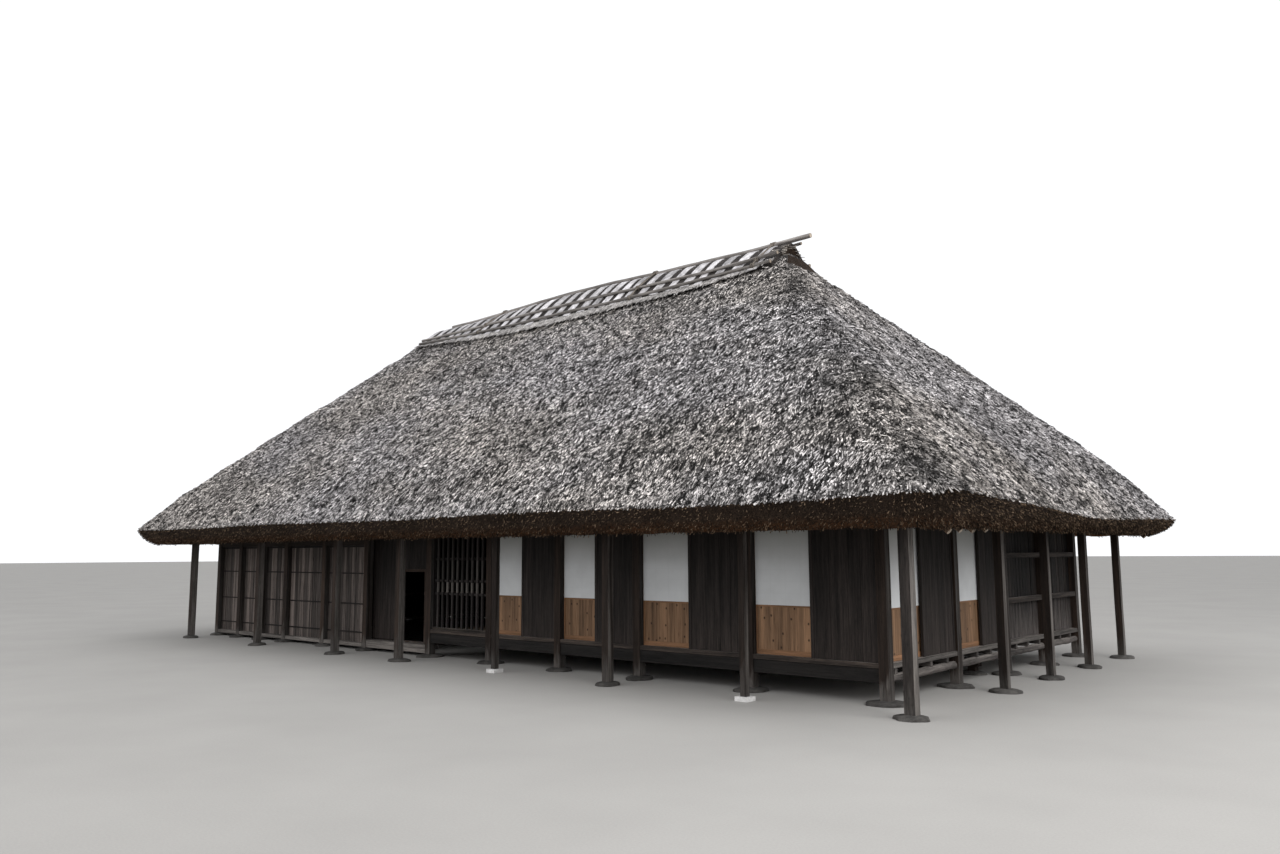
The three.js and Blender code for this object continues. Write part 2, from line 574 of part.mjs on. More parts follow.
// Great door of the entrance, with its low wicket
const greatDoor = block(P7 - 10, P5 - HALF - RUN, FRONT + DOOR_IN, FRONT + DOOR_IN + DOOR_T,
  187.5, LINTEL_TOP - 1)
  .subtract(block(-1405, -815, FRONT + DOOR_IN - 10, FRONT + DOOR_IN + DOOR_T + 10, 212, 1370));
place('great_door', greatDoor, BOARD_WOOD);

export default group;
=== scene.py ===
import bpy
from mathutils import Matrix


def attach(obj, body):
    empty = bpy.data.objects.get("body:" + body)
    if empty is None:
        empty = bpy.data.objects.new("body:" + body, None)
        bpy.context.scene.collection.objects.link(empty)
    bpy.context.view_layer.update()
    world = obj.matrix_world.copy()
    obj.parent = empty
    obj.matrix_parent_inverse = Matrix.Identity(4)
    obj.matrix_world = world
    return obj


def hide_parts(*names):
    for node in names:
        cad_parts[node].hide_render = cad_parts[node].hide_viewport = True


bl_info = {
    "name": "Thatched farmhouse",
    "version": (1, 0, 0),
    "blender": (4, 5, 0),
    "location": "3D View > Sidebar > Farmhouse",
    "description": "Builds the thatch, ridge, timbers, boards and paper screens over the packed frame",
    "category": "Add Mesh",
}

import math
import random

import bpy
from mathutils import Matrix, Vector, noise

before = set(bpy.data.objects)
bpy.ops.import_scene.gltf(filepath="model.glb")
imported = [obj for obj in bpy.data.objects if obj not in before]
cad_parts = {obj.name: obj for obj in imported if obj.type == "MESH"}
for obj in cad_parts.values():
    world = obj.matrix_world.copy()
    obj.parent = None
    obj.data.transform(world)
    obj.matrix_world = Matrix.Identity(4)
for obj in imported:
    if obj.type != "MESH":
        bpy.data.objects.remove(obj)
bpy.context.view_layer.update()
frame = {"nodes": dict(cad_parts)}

# Plan and heights in metres, the same as in the frame
POST, STONE = 0.12, 0.05
RIGHT, LEFT, FRONT, BACK = 7.727, -7.821, -3.182, 3.38
FRONT_POSTS = [7.667, 5.874, 4.056, 2.541, 1.026, -0.489, -2.307, -3.671, -5.034, -5.943, -6.852, -7.761]
SIDE_POSTS = [-1.286, 0.345, 1.832]
BACK_POSTS = [7.667, 5.874, 4.056, 2.541, 1.026, -0.489, -2.307, -3.671, -5.034, -6.4, -7.761]
FIRST_POST, WINDOW_POST, LAST_POST = FRONT_POSTS[0], FRONT_POSTS[4], FRONT_POSTS[-1]
ENTRANCE_RIGHT, ENTRANCE_LEFT = FRONT_POSTS[5], FRONT_POSTS[6]
EAVE_Y, EAVE_X = -3.838, 8.301
FRONT_EAVE = [8.301, 6.27, 4.147, 1.957, -0.345, -2.163, -4.784, -7.481]
SIDE_EAVE = [-1.369, 0.228, 1.821, 3.449]
EAVE_BEAM = 2.0
FLOOR_SILL, SILL_TOP, HEAD, PLATE, PLATE_TOP = 0.391, 0.447, 2.204, 2.35, 2.48
GROUND_SILL, GROUND_SILL_TOP, THRESHOLD_TOP = 0.06, 0.124, 0.187
LINTEL, LINTEL_TOP = 1.838, 1.99
# Gap between timbers that meet end on
CLEAR = 0.0003
SIDE_LOW, SIDE_HIGH = FRONT + POST + CLEAR, BACK - POST - CLEAR
BESIDE_POST = POST / 2 + 0.0005
# How far a leaf stands over its sill, and how far timbers reach into each other
OVER_SILL, TENON = 0.0005, 0.005

# Each wall: the axis it runs along, its outer face, and which way is inwards
WALLS = {
    "front": ("x", FRONT, 1),
    "back": ("x", BACK, -1),
    "left": ("y", LEFT, 1),
    "right": ("y", RIGHT, -1),
}

# Depths of the timbers from a wall's outer face
PLATE_DEPTH, SILL_DEPTH, HEAD_DEPTH = (0.005, 0.115), (0.008, 0.114), (0.012, 0.114)
GROUND_DEPTH, RAIL_DEPTH = (0.008, 0.112), (0.008, 0.0717)
BEAM_DEPTH, TRACK_DEPTH = (0.015, 0.095), (0.158, 0.222)

# Roof: half size at the eave, gables, lip and underside of the eave, and the slopes' runs and rise
ROOF_X, ROOF_Y = 9.05, 4.58
GABLE_RIGHT, GABLE_LEFT, GABLE_HALF = 4.86, -4.65, 0.52
LIP, UNDER, UNDER_IN, GABLE = 2.2, 1.9, 0.31, 6.18
RUN_Y, RUN_RIGHT, RUN_LEFT = ROOF_Y - GABLE_HALF, ROOF_X - GABLE_RIGHT, ROOF_X + GABLE_LEFT
RISE = GABLE - LIP
UNDER_SHARE = UNDER_IN / RUN_Y
# The cut eave ends under the one height, and the slopes under the other
CUT_TOP, ABOVE_SLOPES = 2.4, 6.2
# How far the slopes stand out from straight at a share of their rise
SWELL = [
    (0, 0), (0.03, 0.04), (0.1, 0.08), (0.155, 0.112), (0.22, 0.096), (0.29, 0.124), (0.37, 0.088),
    (0.44, 0.108), (0.52, 0.066), (0.59, 0.084), (0.67, 0.04), (0.74, 0.052), (0.82, 0.012), (0.88, 0.022),
    (0.92, 0.006), (1, 0),
]

# Ridge: (distance from the middle, height) over the bark, and how its line sways along X
SADDLE = [(0, 6.62), (0.11, 6.594), (0.3, 6.442), (0.49, 6.265), (0.72, 6.047), (0.95, 5.815)]
BOW = [
    (-4.6, -0.07), (-3.1, -0.062), (-1.8, -0.012), (-0.6, 0.03), (0.7, 0.036), (1.8, 0.01), (4.2, -0.008),
    (5.1, 0.03),
]
CAP_LEFT, CAP_RIGHT = -4.48, 4.66
# How far down the straw under the bark comes, and the poles' distances from the middle and height
SKIRT = [
    (-4.48, 0.62), (-3.5, 0.71), (-2.5, 0.80), (-1.2, 0.87), (0, 0.88), (1.9, 0.82), (2.9, 0.81),
    (3.6, 0.76), (4.2, 0.69), (4.66, 0.52),
]
LOWER_POLE = [(-4.5, 0.60), (-3.2, 0.66), (-1.8, 0.72), (1.8, 0.72), (3.4, 0.67), (4.7, 0.60)]
UPPER_POLE, TOP_POLE = 0.49, 6.6604


def colour(name, description, default):
    return bpy.props.FloatVectorProperty(
        name=name, description=description, subtype="COLOR", size=3, min=0, max=1, default=default
    )


def length(name, description, default):
    return bpy.props.FloatProperty(name=name, description=description, default=default, min=0, unit="LENGTH")


class ThatchSettings(bpy.types.PropertyGroup):
    """Sizes and colours of the thatch"""

    straw_length: length("Straw length", "Length of a straw end on the slopes", 0.145)
    straw_width: length("Straw width", "Width of a straw end on the slopes", 0.0165)
    front_straws: bpy.props.IntProperty(
        name="Straws on the front",
        description="Straw ends on a square metre of the front",
        default=800,
        min=0,
    )
    corner: length("Corner", "Radius of the hips at the eaves", 0.62)
    pale: colour("Pale straw", "Colour of the straw that the weather has bleached", (0.585, 0.56, 0.562))
    warm: colour("Warm straw", "Colour of the straw in warmer patches", (0.59, 0.55, 0.52))
    # Dark straw also colours the body under the straw ends, as painted shade between them
    dark: colour("Dark straw", "Colour between the straws", (0.026, 0.023, 0.023))
    cut: colour("Cut eave", "Colour of the reed ends at the eaves", (0.04, 0.0265, 0.0188))
    under: colour("Underside", "Colour of the reed on the rafters", (0.14, 0.062, 0.026))


class TimberSettings(bpy.types.PropertyGroup):
    """Sizes and colours of the timbers and boards"""

    edge: length("Worn edge", "Width of the worn edge of a timber", 0.007)
    sway: length("Sway", "How far a hand-cut timber strays from straight", 0.006)
    post: colour("Posts", "Colour of the posts", (0.0235, 0.0143, 0.0097))
    board: colour("Boards", "Colour of the board doors", (0.0103, 0.0078, 0.0068))
    grey: colour("Grey boards", "Colour of the weathered board walls", (0.1, 0.082, 0.073))
    honey: colour("Lower boards", "Colour of the boards under the paper", (0.215, 0.122, 0.066))
    # The bleached colour also gives the painted light on the lattice bars, and in part the paler faces
    # towards +X of the posts
    bleached: colour("Bleached wood", "Colour of wood that the rain reaches", (0.25, 0.225, 0.205))


class ScreenSettings(bpy.types.PropertyGroup):
    """Sizes and colour of the paper screens"""

    paper: colour("Paper", "Colour of the paper", (0.56, 0.57, 0.575))
    frame: length("Stile", "Width of the upright edge of a screen", 0.022)
    split: length("Paper foot", "Height of the foot of the paper", 1.041)


class StageSettings(bpy.types.PropertyGroup):
    """Colour of the floor and strength of the light"""

    floor: colour("Floor", "Colour of the floor", (0.34, 0.33, 0.315))
    sky: bpy.props.FloatProperty(
        name="Sky", description="Strength of the light from all round", default=1.1, min=0
    )
    side: bpy.props.FloatProperty(
        name="Side light", description="Power of the light at the right", default=3200, min=0, unit="POWER"
    )


def settings(name):
    return getattr(bpy.context.scene, "farmhouse_" + name)


# Modelling


def mode(name):
    bpy.ops.object.mode_set(mode=name)


def nothing_selected():
    if bpy.context.mode != "OBJECT":
        mode("OBJECT")
    bpy.ops.object.select_all(action="DESELECT")


def hold(piece):
    """Makes one piece the only one selected, and active."""
    nothing_selected()
    piece.select_set(True)
    bpy.context.view_layer.objects.active = piece
    return piece


def settle(piece):
    """Puts a piece's place, turn and size into its mesh."""
    hold(piece)
    bpy.ops.object.transform_apply(location=True, rotation=True, scale=True)
    return piece


def smooth(piece, degrees):
    """Shades a piece smooth over all edges but the sharp ones."""
    hold(piece)
    bpy.ops.object.shade_smooth_by_angle(angle=math.radians(degrees))
    return piece


def work(piece, kind, **values):
    """Adds a modifier and applies it."""
    hold(piece)
    modifier = piece.modifiers.new(kind.title(), kind)
    for key, value in values.items():
        setattr(modifier, key, value)
    bpy.ops.object.modifier_apply(modifier=modifier.name)


def pick(piece, kind, test):
    """Selects only the edges or faces that pass the test, in edit mode, and tells if there are any."""
    hold(piece)
    mode("EDIT")
    bpy.ops.mesh.select_mode(type=kind)
    bpy.ops.mesh.select_all(action="DESELECT")
    mode("OBJECT")
    chosen = [item for item in (piece.data.edges if kind == "EDGE" else piece.data.polygons) if test(item)]
    for item in chosen:
        item.select = True
    mode("EDIT")
    return bool(chosen)


def span(piece, edge):
    a, b = (piece.data.vertices[i].co for i in edge.vertices)
    return (b - a).length


def halved(piece, longest, rounds=12):
    """Halves edges until none is longer than a length, or for a number of rounds."""
    for _ in range(rounds):
        if not pick(piece, "EDGE", lambda e: span(piece, e) > longest):
            break
        bpy.ops.mesh.subdivide(number_cuts=1)
    mode("OBJECT")


def spots(piece):
    """Each vertex with its place and normal, all read before any vertex moves."""
    return list(zip(piece.data.vertices, [(v.co.copy(), v.normal.copy()) for v in piece.data.vertices]))


def bump_at(x, y, z):
    return noise.noise(Vector((x, y, z)))


def joined(name, parts):
    """One piece from many."""
    nothing_selected()
    for part in parts:
        part.select_set(True)
    bpy.context.view_layer.objects.active = parts[0]
    if len(parts) > 1:
        bpy.ops.object.join()
    piece = bpy.context.object
    piece.name = piece.data.name = name
    return piece


def mark(piece, name, values):
    """Stores a number or a vector on each vertex."""
    if isinstance(values[0], float):
        piece.data.attributes.new(name, "FLOAT", "POINT").data.foreach_set("value", values)
    else:
        flat = [n for v in values for n in v]
        piece.data.attributes.new(name, "FLOAT_VECTOR", "POINT").data.foreach_set("vector", flat)


def copy_of(piece, matrix, look=None):
    """A copy of a piece with its own mesh, put in place by a matrix."""
    copy = piece.copy()
    copy.data = piece.data.copy()
    copy.hide_render = False
    bpy.context.scene.collection.objects.link(copy)
    copy.data.transform(matrix)
    if look:
        copy.data.materials.append(finish(look))
    return copy


def delete(*pieces):
    for piece in pieces:
        bpy.data.objects.remove(piece)


def riding(piece, body, slot, *nodes):
    """Gives a finished piece its body and hides the nodes that it stands in for; the slot is not used."""
    if not piece.data.polygons:
        raise RuntimeError(piece.name + " has no faces")
    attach(piece, body)
    if nodes:
        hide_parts(*nodes)


# Both seeds are fixed, so that every run gives the same timbers
SEED = 7
rng = random.Random(SEED)
noise.seed_set(SEED)
BLANKS = {}
FINISHES = {}
AXES = {"x": Vector((1, 0, 0)), "y": Vector((0, 1, 0)), "z": Vector((0, 0, 1))}


def blank(kind):
    """Shapes that many parts are copied from: each is made once."""
    if kind in BLANKS:
        return BLANKS[kind]
    nothing_selected()
    if kind == "squared":
        bpy.ops.mesh.primitive_cube_add(size=1)
    elif kind in ("round", "fine_round"):
        bpy.ops.mesh.primitive_cylinder_add(vertices=10 if kind == "round" else 14, radius=1, depth=1)
    else:
        bpy.ops.mesh.primitive_ico_sphere_add(subdivisions=3, radius=1)
        shift = Vector((3.1, 1.7, 9.2)) * (1 + int(kind[-1]))
        for v in bpy.context.object.data.vertices:
            bump = 0.20 * noise.noise(v.co * 1.1 + shift) + 0.07 * noise.noise(v.co * 3.3 + shift)
            height = math.copysign(abs(v.co.z) ** 0.55, v.co.z)
            v.co = Vector((v.co.x * (1 + bump), v.co.y * (1 + bump), height * (1 + bump * 0.25)))
        mode("EDIT")
        bpy.ops.mesh.select_all(action="SELECT")
        bpy.ops.mesh.bisect(plane_co=(0, 0, 0), plane_no=(0, 0, 1), use_fill=True, clear_inner=True)
        mode("OBJECT")
        bpy.ops.object.shade_smooth_by_angle(angle=math.radians(50))
    piece = bpy.context.object
    piece.name = "blank_" + kind
    piece.hide_render = True
    BLANKS[kind] = piece
    return piece


def fibred(piece, middle, along, tone=None):
    """Marks a timber with its tone, and with where each vertex is in it, so that its grain runs along it."""
    tone = rng.random() if tone is None else tone
    shift = Vector([rng.uniform(-9, 9) for _ in AXES])
    turn = along.rotation_difference(AXES["z"])
    mark(piece, "fibre", [turn @ (v.co - middle) + shift for v in piece.data.vertices])
    mark(piece, "tone", [tone] * len(piece.data.vertices))
    return piece


def squared(xs, ys, zs, along, look, tone=None):
    """A squared timber or board between two corners."""
    sides = (xs, ys, zs)
    middle = Vector([(a + b) / 2 for a, b in sides])
    place = Matrix.Translation(middle) @ Matrix.Diagonal([abs(b - a) for a, b in sides] + [1])
    return fibred(copy_of(blank("squared"), place, look), middle, AXES[along], tone)


def point(wall, u, depth):
    """The place on the ground at a reach along a wall and a depth behind its face."""
    along, face, inward = WALLS[wall]
    across = face + inward * depth
    return (u, across) if along == "x" else (across, u)


def bar(wall, reach, depth, height, look, tone=None, grain="along"):
    """A timber or board of a wall, by its reach along it, its depth behind its face and its height."""
    along = WALLS[wall][0]
    corners = [point(wall, u, d) for u, d in zip(reach, depth)]
    return squared(*zip(*corners), height, along if grain == "along" else grain, look, tone)


def pole(a, b, radius, look, end=None, kind="round"):
    """A round pole between two points, with other wood on its cut ends."""
    a, b = Vector(a), Vector(b)
    along = (b - a).normalized()
    turn = AXES["z"].rotation_difference(b - a).to_matrix().to_4x4()
    place = Matrix.Translation((a + b) / 2) @ turn @ Matrix.Diagonal((radius, radius, (b - a).length, 1))
    piece = copy_of(blank(kind), place, look)
    if end:
        piece.data.materials.append(finish(end))
        for face in piece.data.polygons:
            face.material_index = int(abs(face.normal.dot(along)) > 0.9)
    return fibred(piece, (a + b) / 2, along)


def stone(x, y, half_x, half_y, height, kind, turn=0.0):
    """A natural stone, flat on the ground."""
    place = Matrix.Translation((x, y, 0)) @ Matrix.Rotation(turn, 4, "Z")
    piece = copy_of(blank("stone_%d" % kind), place @ Matrix.Diagonal((half_x, half_y, height, 1)), "stone")
    mark(piece, "tone", [rng.random()] * len(piece.data.vertices))
    return piece


def standing(x, y, side, top, size, turn, look):
    """A post on its base stone, or on a small white block where the size is small."""
    half = side / 2
    if size < 0.12:
        foot = squared((x - size, x + size), (y - size, y + size), (0, STONE), "z", "white_stone")
    else:
        foot = stone(x, y, size * 0.98, size * 0.8, STONE * 1.04, int(abs(x * 7 + y * 3)) % 3, turn)
    return [foot, squared((x - half, x + half), (y - half, y + half), (STONE - 0.006, top), "z", look)]


def weathered(piece, sway, edge=None, bay=0.45, level=False):
    """Wears a piece's edges and lets its long sides stray a little, and never up or down if level."""
    edge = settings("timber").edge if edge is None else edge
    work(piece, "BEVEL", width=edge, segments=1, limit_method="ANGLE", angle_limit=math.radians(50))
    halved(piece, bay, 5)
    for v in piece.data.vertices:
        if v.co.z > STONE + 0.03 and sway:
            height = v.co.z
            v.co += noise.noise_vector(v.co * 1.3) * sway * 0.6
            v.co += noise.noise_vector(v.co * 7.0) * sway * 0.25
            if level:
                v.co.z = height
    return smooth(piece, 35)


# Materials


class Graph:
    """A node tree with a short way to add a node and join its sockets."""

    def __init__(self, tree):
        self.tree = tree

    def add(self, kind, inputs=None, **values):
        node = self.tree.nodes.new(kind)
        for key, value in values.items():
            setattr(node, key, value)
        for key, value in (inputs or {}).items():
            if isinstance(value, bpy.types.NodeSocket):
                self.tree.links.new(value, node.inputs[key])
            else:
                node.inputs[key].default_value = value
        return node

    def maths(self, operation, a, b=0.0, clamp=False):
        return self.add("ShaderNodeMath", {0: a, 1: b}, operation=operation, use_clamp=clamp).outputs[0]

    def times(self, a, b):
        return self.maths("MULTIPLY", a, b)

    def plus(self, a, b):
        return self.maths("ADD", a, b)

    def less(self, a, b):
        return self.maths("SUBTRACT", a, b)

    def apart(self, a, b):
        return self.maths("ABSOLUTE", self.less(a, b))

    def blend(self, a, b, share):
        """Two numbers mixed, the first by this share."""
        return self.plus(self.times(a, share), self.times(b, 1 - share))

    def noise(self, vector, scale, detail=3.0, rough=0.55):
        values = {"Vector": vector, "Scale": scale, "Detail": detail, "Roughness": rough}
        return self.add("ShaderNodeTexNoise", values).outputs["Fac"]

    def stretch(self, vector, by):
        return self.add("ShaderNodeVectorMath", {0: vector, 1: by}, operation="MULTIPLY").outputs[0]

    def xyz(self, vector):
        return self.add("ShaderNodeSeparateXYZ", {0: vector}).outputs

    def vector(self, x, y, z=0.0):
        return self.add("ShaderNodeCombineXYZ", {0: x, 1: y, 2: z}).outputs[0]

    def ramp(self, value, low, high, to_low=0.0, to_high=1.0):
        values = {"Value": value, "From Min": low, "From Max": high, "To Min": to_low, "To Max": to_high}
        return self.add("ShaderNodeMapRange", values).outputs[0]

    def mix(self, factor, a, b, blend="MIX"):
        values = {0: factor, 6: a, 7: b}
        return self.add("ShaderNodeMix", values, data_type="RGBA", blend_type=blend).outputs[2]

    def shaded(self, base, tone):
        """A colour times a number."""
        grey = self.add("ShaderNodeCombineColor", {0: tone, 1: tone, 2: tone}).outputs[0]
        return self.mix(1.0, base, grey, "MULTIPLY")

    def attribute(self, name, output="Fac"):
        return self.add("ShaderNodeAttribute", attribute_name=name).outputs[output]

    def here(self):
        return self.add("ShaderNodeTexCoord").outputs["Object"]

    def group(self, build, **inputs):
        """A node of the shader node group that a function describes, which is built once."""
        name, sockets, results, fill = build()
        tree = bpy.data.node_groups.get(name)
        if tree is None:
            tree = bpy.data.node_groups.new(name, "ShaderNodeTree")
            for label, value in sockets.items():
                kind = "NodeSocketFloat" if isinstance(value, float) else "NodeSocketVector"
                socket = tree.interface.new_socket(name=label, in_out="INPUT", socket_type=kind)
                socket.default_value = value
            for label in results:
                tree.interface.new_socket(name=label, in_out="OUTPUT", socket_type="NodeSocketFloat")
            inner = Graph(tree)
            entry, last = inner.add("NodeGroupInput"), inner.add("NodeGroupOutput")
            for label, result in zip(results, fill(inner, entry.outputs)):
                tree.links.new(result, last.inputs[label])
        return self.add("ShaderNodeGroup", inputs, node_tree=tree).outputs


class Look(Graph):
    """The graph of a new material around its shader."""

    def __init__(self, name, rough, specular=0.25):
        self.material = bpy.data.materials.new(name)
        self.material.use_nodes = True
        super().__init__(self.material.node_tree)
        self.shader = self.tree.nodes["Principled BSDF"]
        self.shader.inputs["Roughness"].default_value = rough
        self.shader.inputs["Specular IOR Level"].default_value = specular

    def join(self, socket, name):
        self.tree.links.new(socket, self.shader.inputs[name])

    def done(self, base, height, strength, distance):
        """The material, with its colour and its small bumps joined to the shader."""
        self.join(base, "Base Color")
        bump = self.add("ShaderNodeBump", {"Height": height, "Strength": strength, "Distance": distance})
        self.join(bump.outputs[0], "Normal")
        return self.material


def wood_grain():
    """Streaks, fine lines and cracks, drawn out along the timber."""

    def fill(g, at):
        vector = g.stretch(at["Vector"], g.vector(1.0, 1.0, at["Stretch"]))
        across = at["Across"]
        wide = g.noise(vector, g.times(across, 0.3), 2)
        streak = g.noise(vector, across, 5, 0.62)
        fine = g.noise(vector, g.times(across, 6.0), 3, 0.6)
        line = g.noise(vector, g.times(across, 0.7), 2, 0.5)
        crack = g.times(g.ramp(g.apart(line, 0.5), 0.0, 0.018, 1.0, 0.0), g.ramp(fine, 0.45, 0.6))
        mixed = g.blend(streak, fine, 0.6)
        streaks = g.ramp(g.blend(mixed, wide, 0.75), 0.38, 0.63)
        return streaks, g.ramp(wide, 0.35, 0.65), crack, g.less(mixed, g.times(crack, 0.6))

    inputs = {"Vector": (0, 0, 0), "Across": 60.0, "Stretch": 0.045}
    return "wood_grain", inputs, ("Streak", "Wide", "Crack", "Height"), fill


def foot_weather():
    """Where rain splashes and sunlight bleaches: high near the ground, in streaks."""

    def fill(g, at):
        uneven = g.less(g.noise(g.stretch(g.here(), (9.0, 9.0, 1.6)), 1.6, 3, 0.6), 0.5)
        level = g.plus(g.xyz(g.here())[2], g.times(uneven, at["Uneven"]))
        return [g.ramp(level, at["Low"], at["High"], 1.0, 0.0)]

    return "foot_weather", {"Low": 0.1, "High": 0.7, "Uneven": 0.9}, ["Mask"], fill


def straw_flecks():
    """Straw seen from above: flecks, painted shadow in the spaces between the straws, and broad patches,
    drawn out down the slope.
    """

    def fill(g, at):
        normal = g.xyz(g.add("ShaderNodeNewGeometry").outputs["Normal"])
        across, along = (g.maths("ABSOLUTE", normal[i]) for i in (0, 1))
        end_slope = g.maths("GREATER_THAN", across, along)

        def drawn(*values):
            front = g.noise(g.stretch(g.here(), (1, 0.42, 0.42)), *values)
            side = g.noise(g.stretch(g.here(), (0.42, 1, 0.42)), *values)
            return g.add("ShaderNodeMix", {0: end_slope, 2: front, 3: side}).outputs[0]

        fleck = g.noise(g.here(), at["Size"], 4, 0.62)
        # Dark spaces between the straw ends: painted shadow
        broad_gap_shadow = g.ramp(drawn(13.0, 2, 0.6), 0.50, 0.60)
        gap_shadow = g.maths("MAXIMUM", broad_gap_shadow, g.ramp(drawn(31.0, 1, 0.5), 0.56, 0.66))
        patch = g.blend(g.noise(g.here(), 0.9, 4, 0.6), g.noise(g.here(), 4.5, 3, 0.6), 0.6)
        warm = g.noise(g.stretch(g.here(), (0.35, 0.7, 0.7)), 0.55, 3, 0.55)
        shares = g.ramp(fleck, 0.36, 0.66), gap_shadow, g.ramp(patch, 0.36, 0.64), g.ramp(warm, 0.42, 0.6)
        return *shares, g.less(fleck, gap_shadow)

    return "straw_flecks", {"Size": 40.0}, ("Fleck", "Gap", "Patch", "Warm", "Height"), fill


def rgba(c, by=1.0):
    return (*(min(n * by, 1) for n in c[:3]), 1)


def knots(g):
    """Where knots are in boards that stand upright."""
    at = g.xyz(g.attribute("fibre", "Vector"))
    flat = g.vector(g.plus(at[0], at[1]), g.times(at[2], 0.8))
    cell = g.add("ShaderNodeTexVoronoi", {"Vector": flat, "Scale": 6.5}, voronoi_dimensions="2D").outputs
    chosen = g.maths("GREATER_THAN", g.add("ShaderNodeSeparateColor", {0: cell["Color"]}).outputs[0], 0.42)
    return g.times(g.ramp(cell["Distance"], 0.045, 0.11, 1.0, 0.0), chosen)


def wood(
    name, dark, light, across=60.0, stretch=0.045, rough=0.8, bump=0.5, foot=None, foot_to=0.7, spread=0.35,
    inside=False, lit_side_and_bleach=None, worn=None, knotty=False,
):
    """Wood whose grain follows each timber, with checks, and bleached where rain, sunlight or feet reach it;
    its paler faces towards +X are partly bleaching and partly painted light from the right.
    """
    g = Look(name, rough)
    vector = g.here() if inside else g.attribute("fibre", "Vector")
    grain = g.group(wood_grain, Vector=vector, Across=across, Stretch=stretch)
    streak, wide = grain["Streak"], grain["Wide"]
    own = g.attribute("tone")
    tone = g.times(g.ramp(own, 0, 1, 1 - spread, 1 + spread), g.ramp(wide, 0, 1, 0.82, 1.15))
    base = g.shaded(g.mix(streak, rgba(dark), rgba(light)), tone)
    if foot:
        mask = g.times(g.group(foot_weather, High=foot_to)["Mask"], 0.85)
        base = g.mix(mask, base, g.mix(streak, rgba(foot, 0.3), rgba(foot, 1.5)))
    # Faces towards +X are paler, partly bleaching and partly painted light from the right; faces that look
    # up get the worn colour
    for axis, bleached in ((0, lit_side_and_bleach), (2, worn)):
        if bleached:
            facing = g.ramp(g.xyz(g.add("ShaderNodeNewGeometry").outputs["True Normal"])[axis], 0.55, 0.9)
            share = g.times(facing, g.ramp(g.plus(wide, g.times(own, 0.5)), 0.2, 1.0, 0.12, 1.0))
            base = g.mix(share, base, g.mix(streak, rgba(bleached, 0.3), rgba(bleached, 1.4)))
    if knotty:
        base = g.mix(g.times(knots(g), 0.9), base, rgba(dark, 0.2))
    base = g.mix(g.times(grain["Crack"], 0.75), base, rgba(dark, 0.25))
    g.join(g.ramp(streak, 0, 1, rough + 0.1, rough - 0.08), "Roughness")
    return g.done(base, grain["Height"], bump, 0.004)


def hip_hollow_shade(g):
    """Painted shade in the dips between clumps of straw along the right hips, where the thatch is roughest.
    """
    at = g.xyz(g.here())
    long_slope = g.maths("DIVIDE", g.less(ROOF_Y, g.maths("ABSOLUTE", at[1])), RUN_Y)
    end_slope = g.maths("DIVIDE", g.less(ROOF_X, at[0]), RUN_RIGHT)
    near_hips = g.ramp(g.apart(long_slope, end_slope), 0.03, 0.2, 1.0, 0.0)
    return g.times(near_hips, g.ramp(g.noise(g.here(), 2.6, 5, 0.68), 0.46, 0.56))


def straw(
    name, dark, pale, size=60.0, gap_shadows=0.0, spread=0.0, patch=0.35, power=1.0, warm=None, foot=None, hips=0.0,
):
    """Straw or reed: each straw end has its own tone where the piece stores one."""
    g = Look(name, 0.95, 0.12)
    flecks = g.group(straw_flecks, Size=size)
    share = flecks["Fleck"]
    if spread:
        own = g.maths("POWER", g.attribute("tone"), power)
        share = g.maths("ADD", g.times(own, spread), g.times(share, 1 - spread), True)
    top = g.mix(flecks["Warm"], rgba(pale), rgba(warm)) if warm else rgba(pale)
    tone = g.ramp(flecks["Patch"], 0, 1, 1 - patch, 1 + patch * 0.6)
    if foot:
        height = g.xyz(g.here())[2]
        uneven = g.times(g.less(g.noise(g.here(), 5.0, 3), 0.5), 0.12)
        top = g.mix(g.ramp(g.plus(height, uneven), UNDER + 0.03, UNDER + 0.14, 1.0, 0.0), top, rgba(foot))
        # Darker towards the lip: painted shadow under the lip of the eave
        tone = g.times(tone, g.ramp(height, LIP - 0.16, LIP - 0.04, 1.0, 0.62))
    # Darker in the spaces between the straw ends: painted shadow
    if gap_shadows:
        tone = g.times(tone, g.ramp(flecks["Gap"], 0, 1, 1, 1 - gap_shadows))
    # Painted shade in the dips between clumps of straw along the right hips
    if hips:
        tone = g.times(tone, g.ramp(hip_hollow_shade(g), 0, 1, 1, 1 - hips))
    return g.done(g.shaded(g.mix(share, rgba(dark), top), tone), flecks["Height"], 0.8, 0.012)


def paper(name, sheet, shade):
    """Paper pasted on a fine lattice, which shows as faint lines, with the shade of the eave on its head."""
    g = Look(name, 0.9)
    at = g.xyz(g.add("ShaderNodeUVMap", uv_map="sheet").outputs[0])
    lines = 0.0
    for axis, count in enumerate(PANES):
        part = g.maths("FRACT", g.plus(g.times(at[axis], count), 0.5))
        lines = g.maths("MAXIMUM", lines, g.ramp(g.apart(part, 0.5), 0.0, 0.05, 1.0, 0.0))
    fibre = g.noise(g.stretch(g.here(), (1, 1, 0.5)), 90, 4, 0.7)
    base = g.mix(g.ramp(g.noise(g.here(), 3.0, 3), 0.35, 0.65), rgba(sheet, 0.94), rgba(sheet, 1.03))
    base = g.mix(g.times(g.ramp(fibre, 0.5, 0.8), 0.12), base, rgba(sheet, 0.8))
    base = g.mix(g.times(lines, 0.15), base, rgba(sheet, 0.78))
    base = g.mix(g.ramp(at[1], 0.4, 0.95, 0.0, 0.88), base, rgba(shade))
    return g.done(base, g.plus(fibre, g.times(lines, 0.6)), 0.12, 0.002)


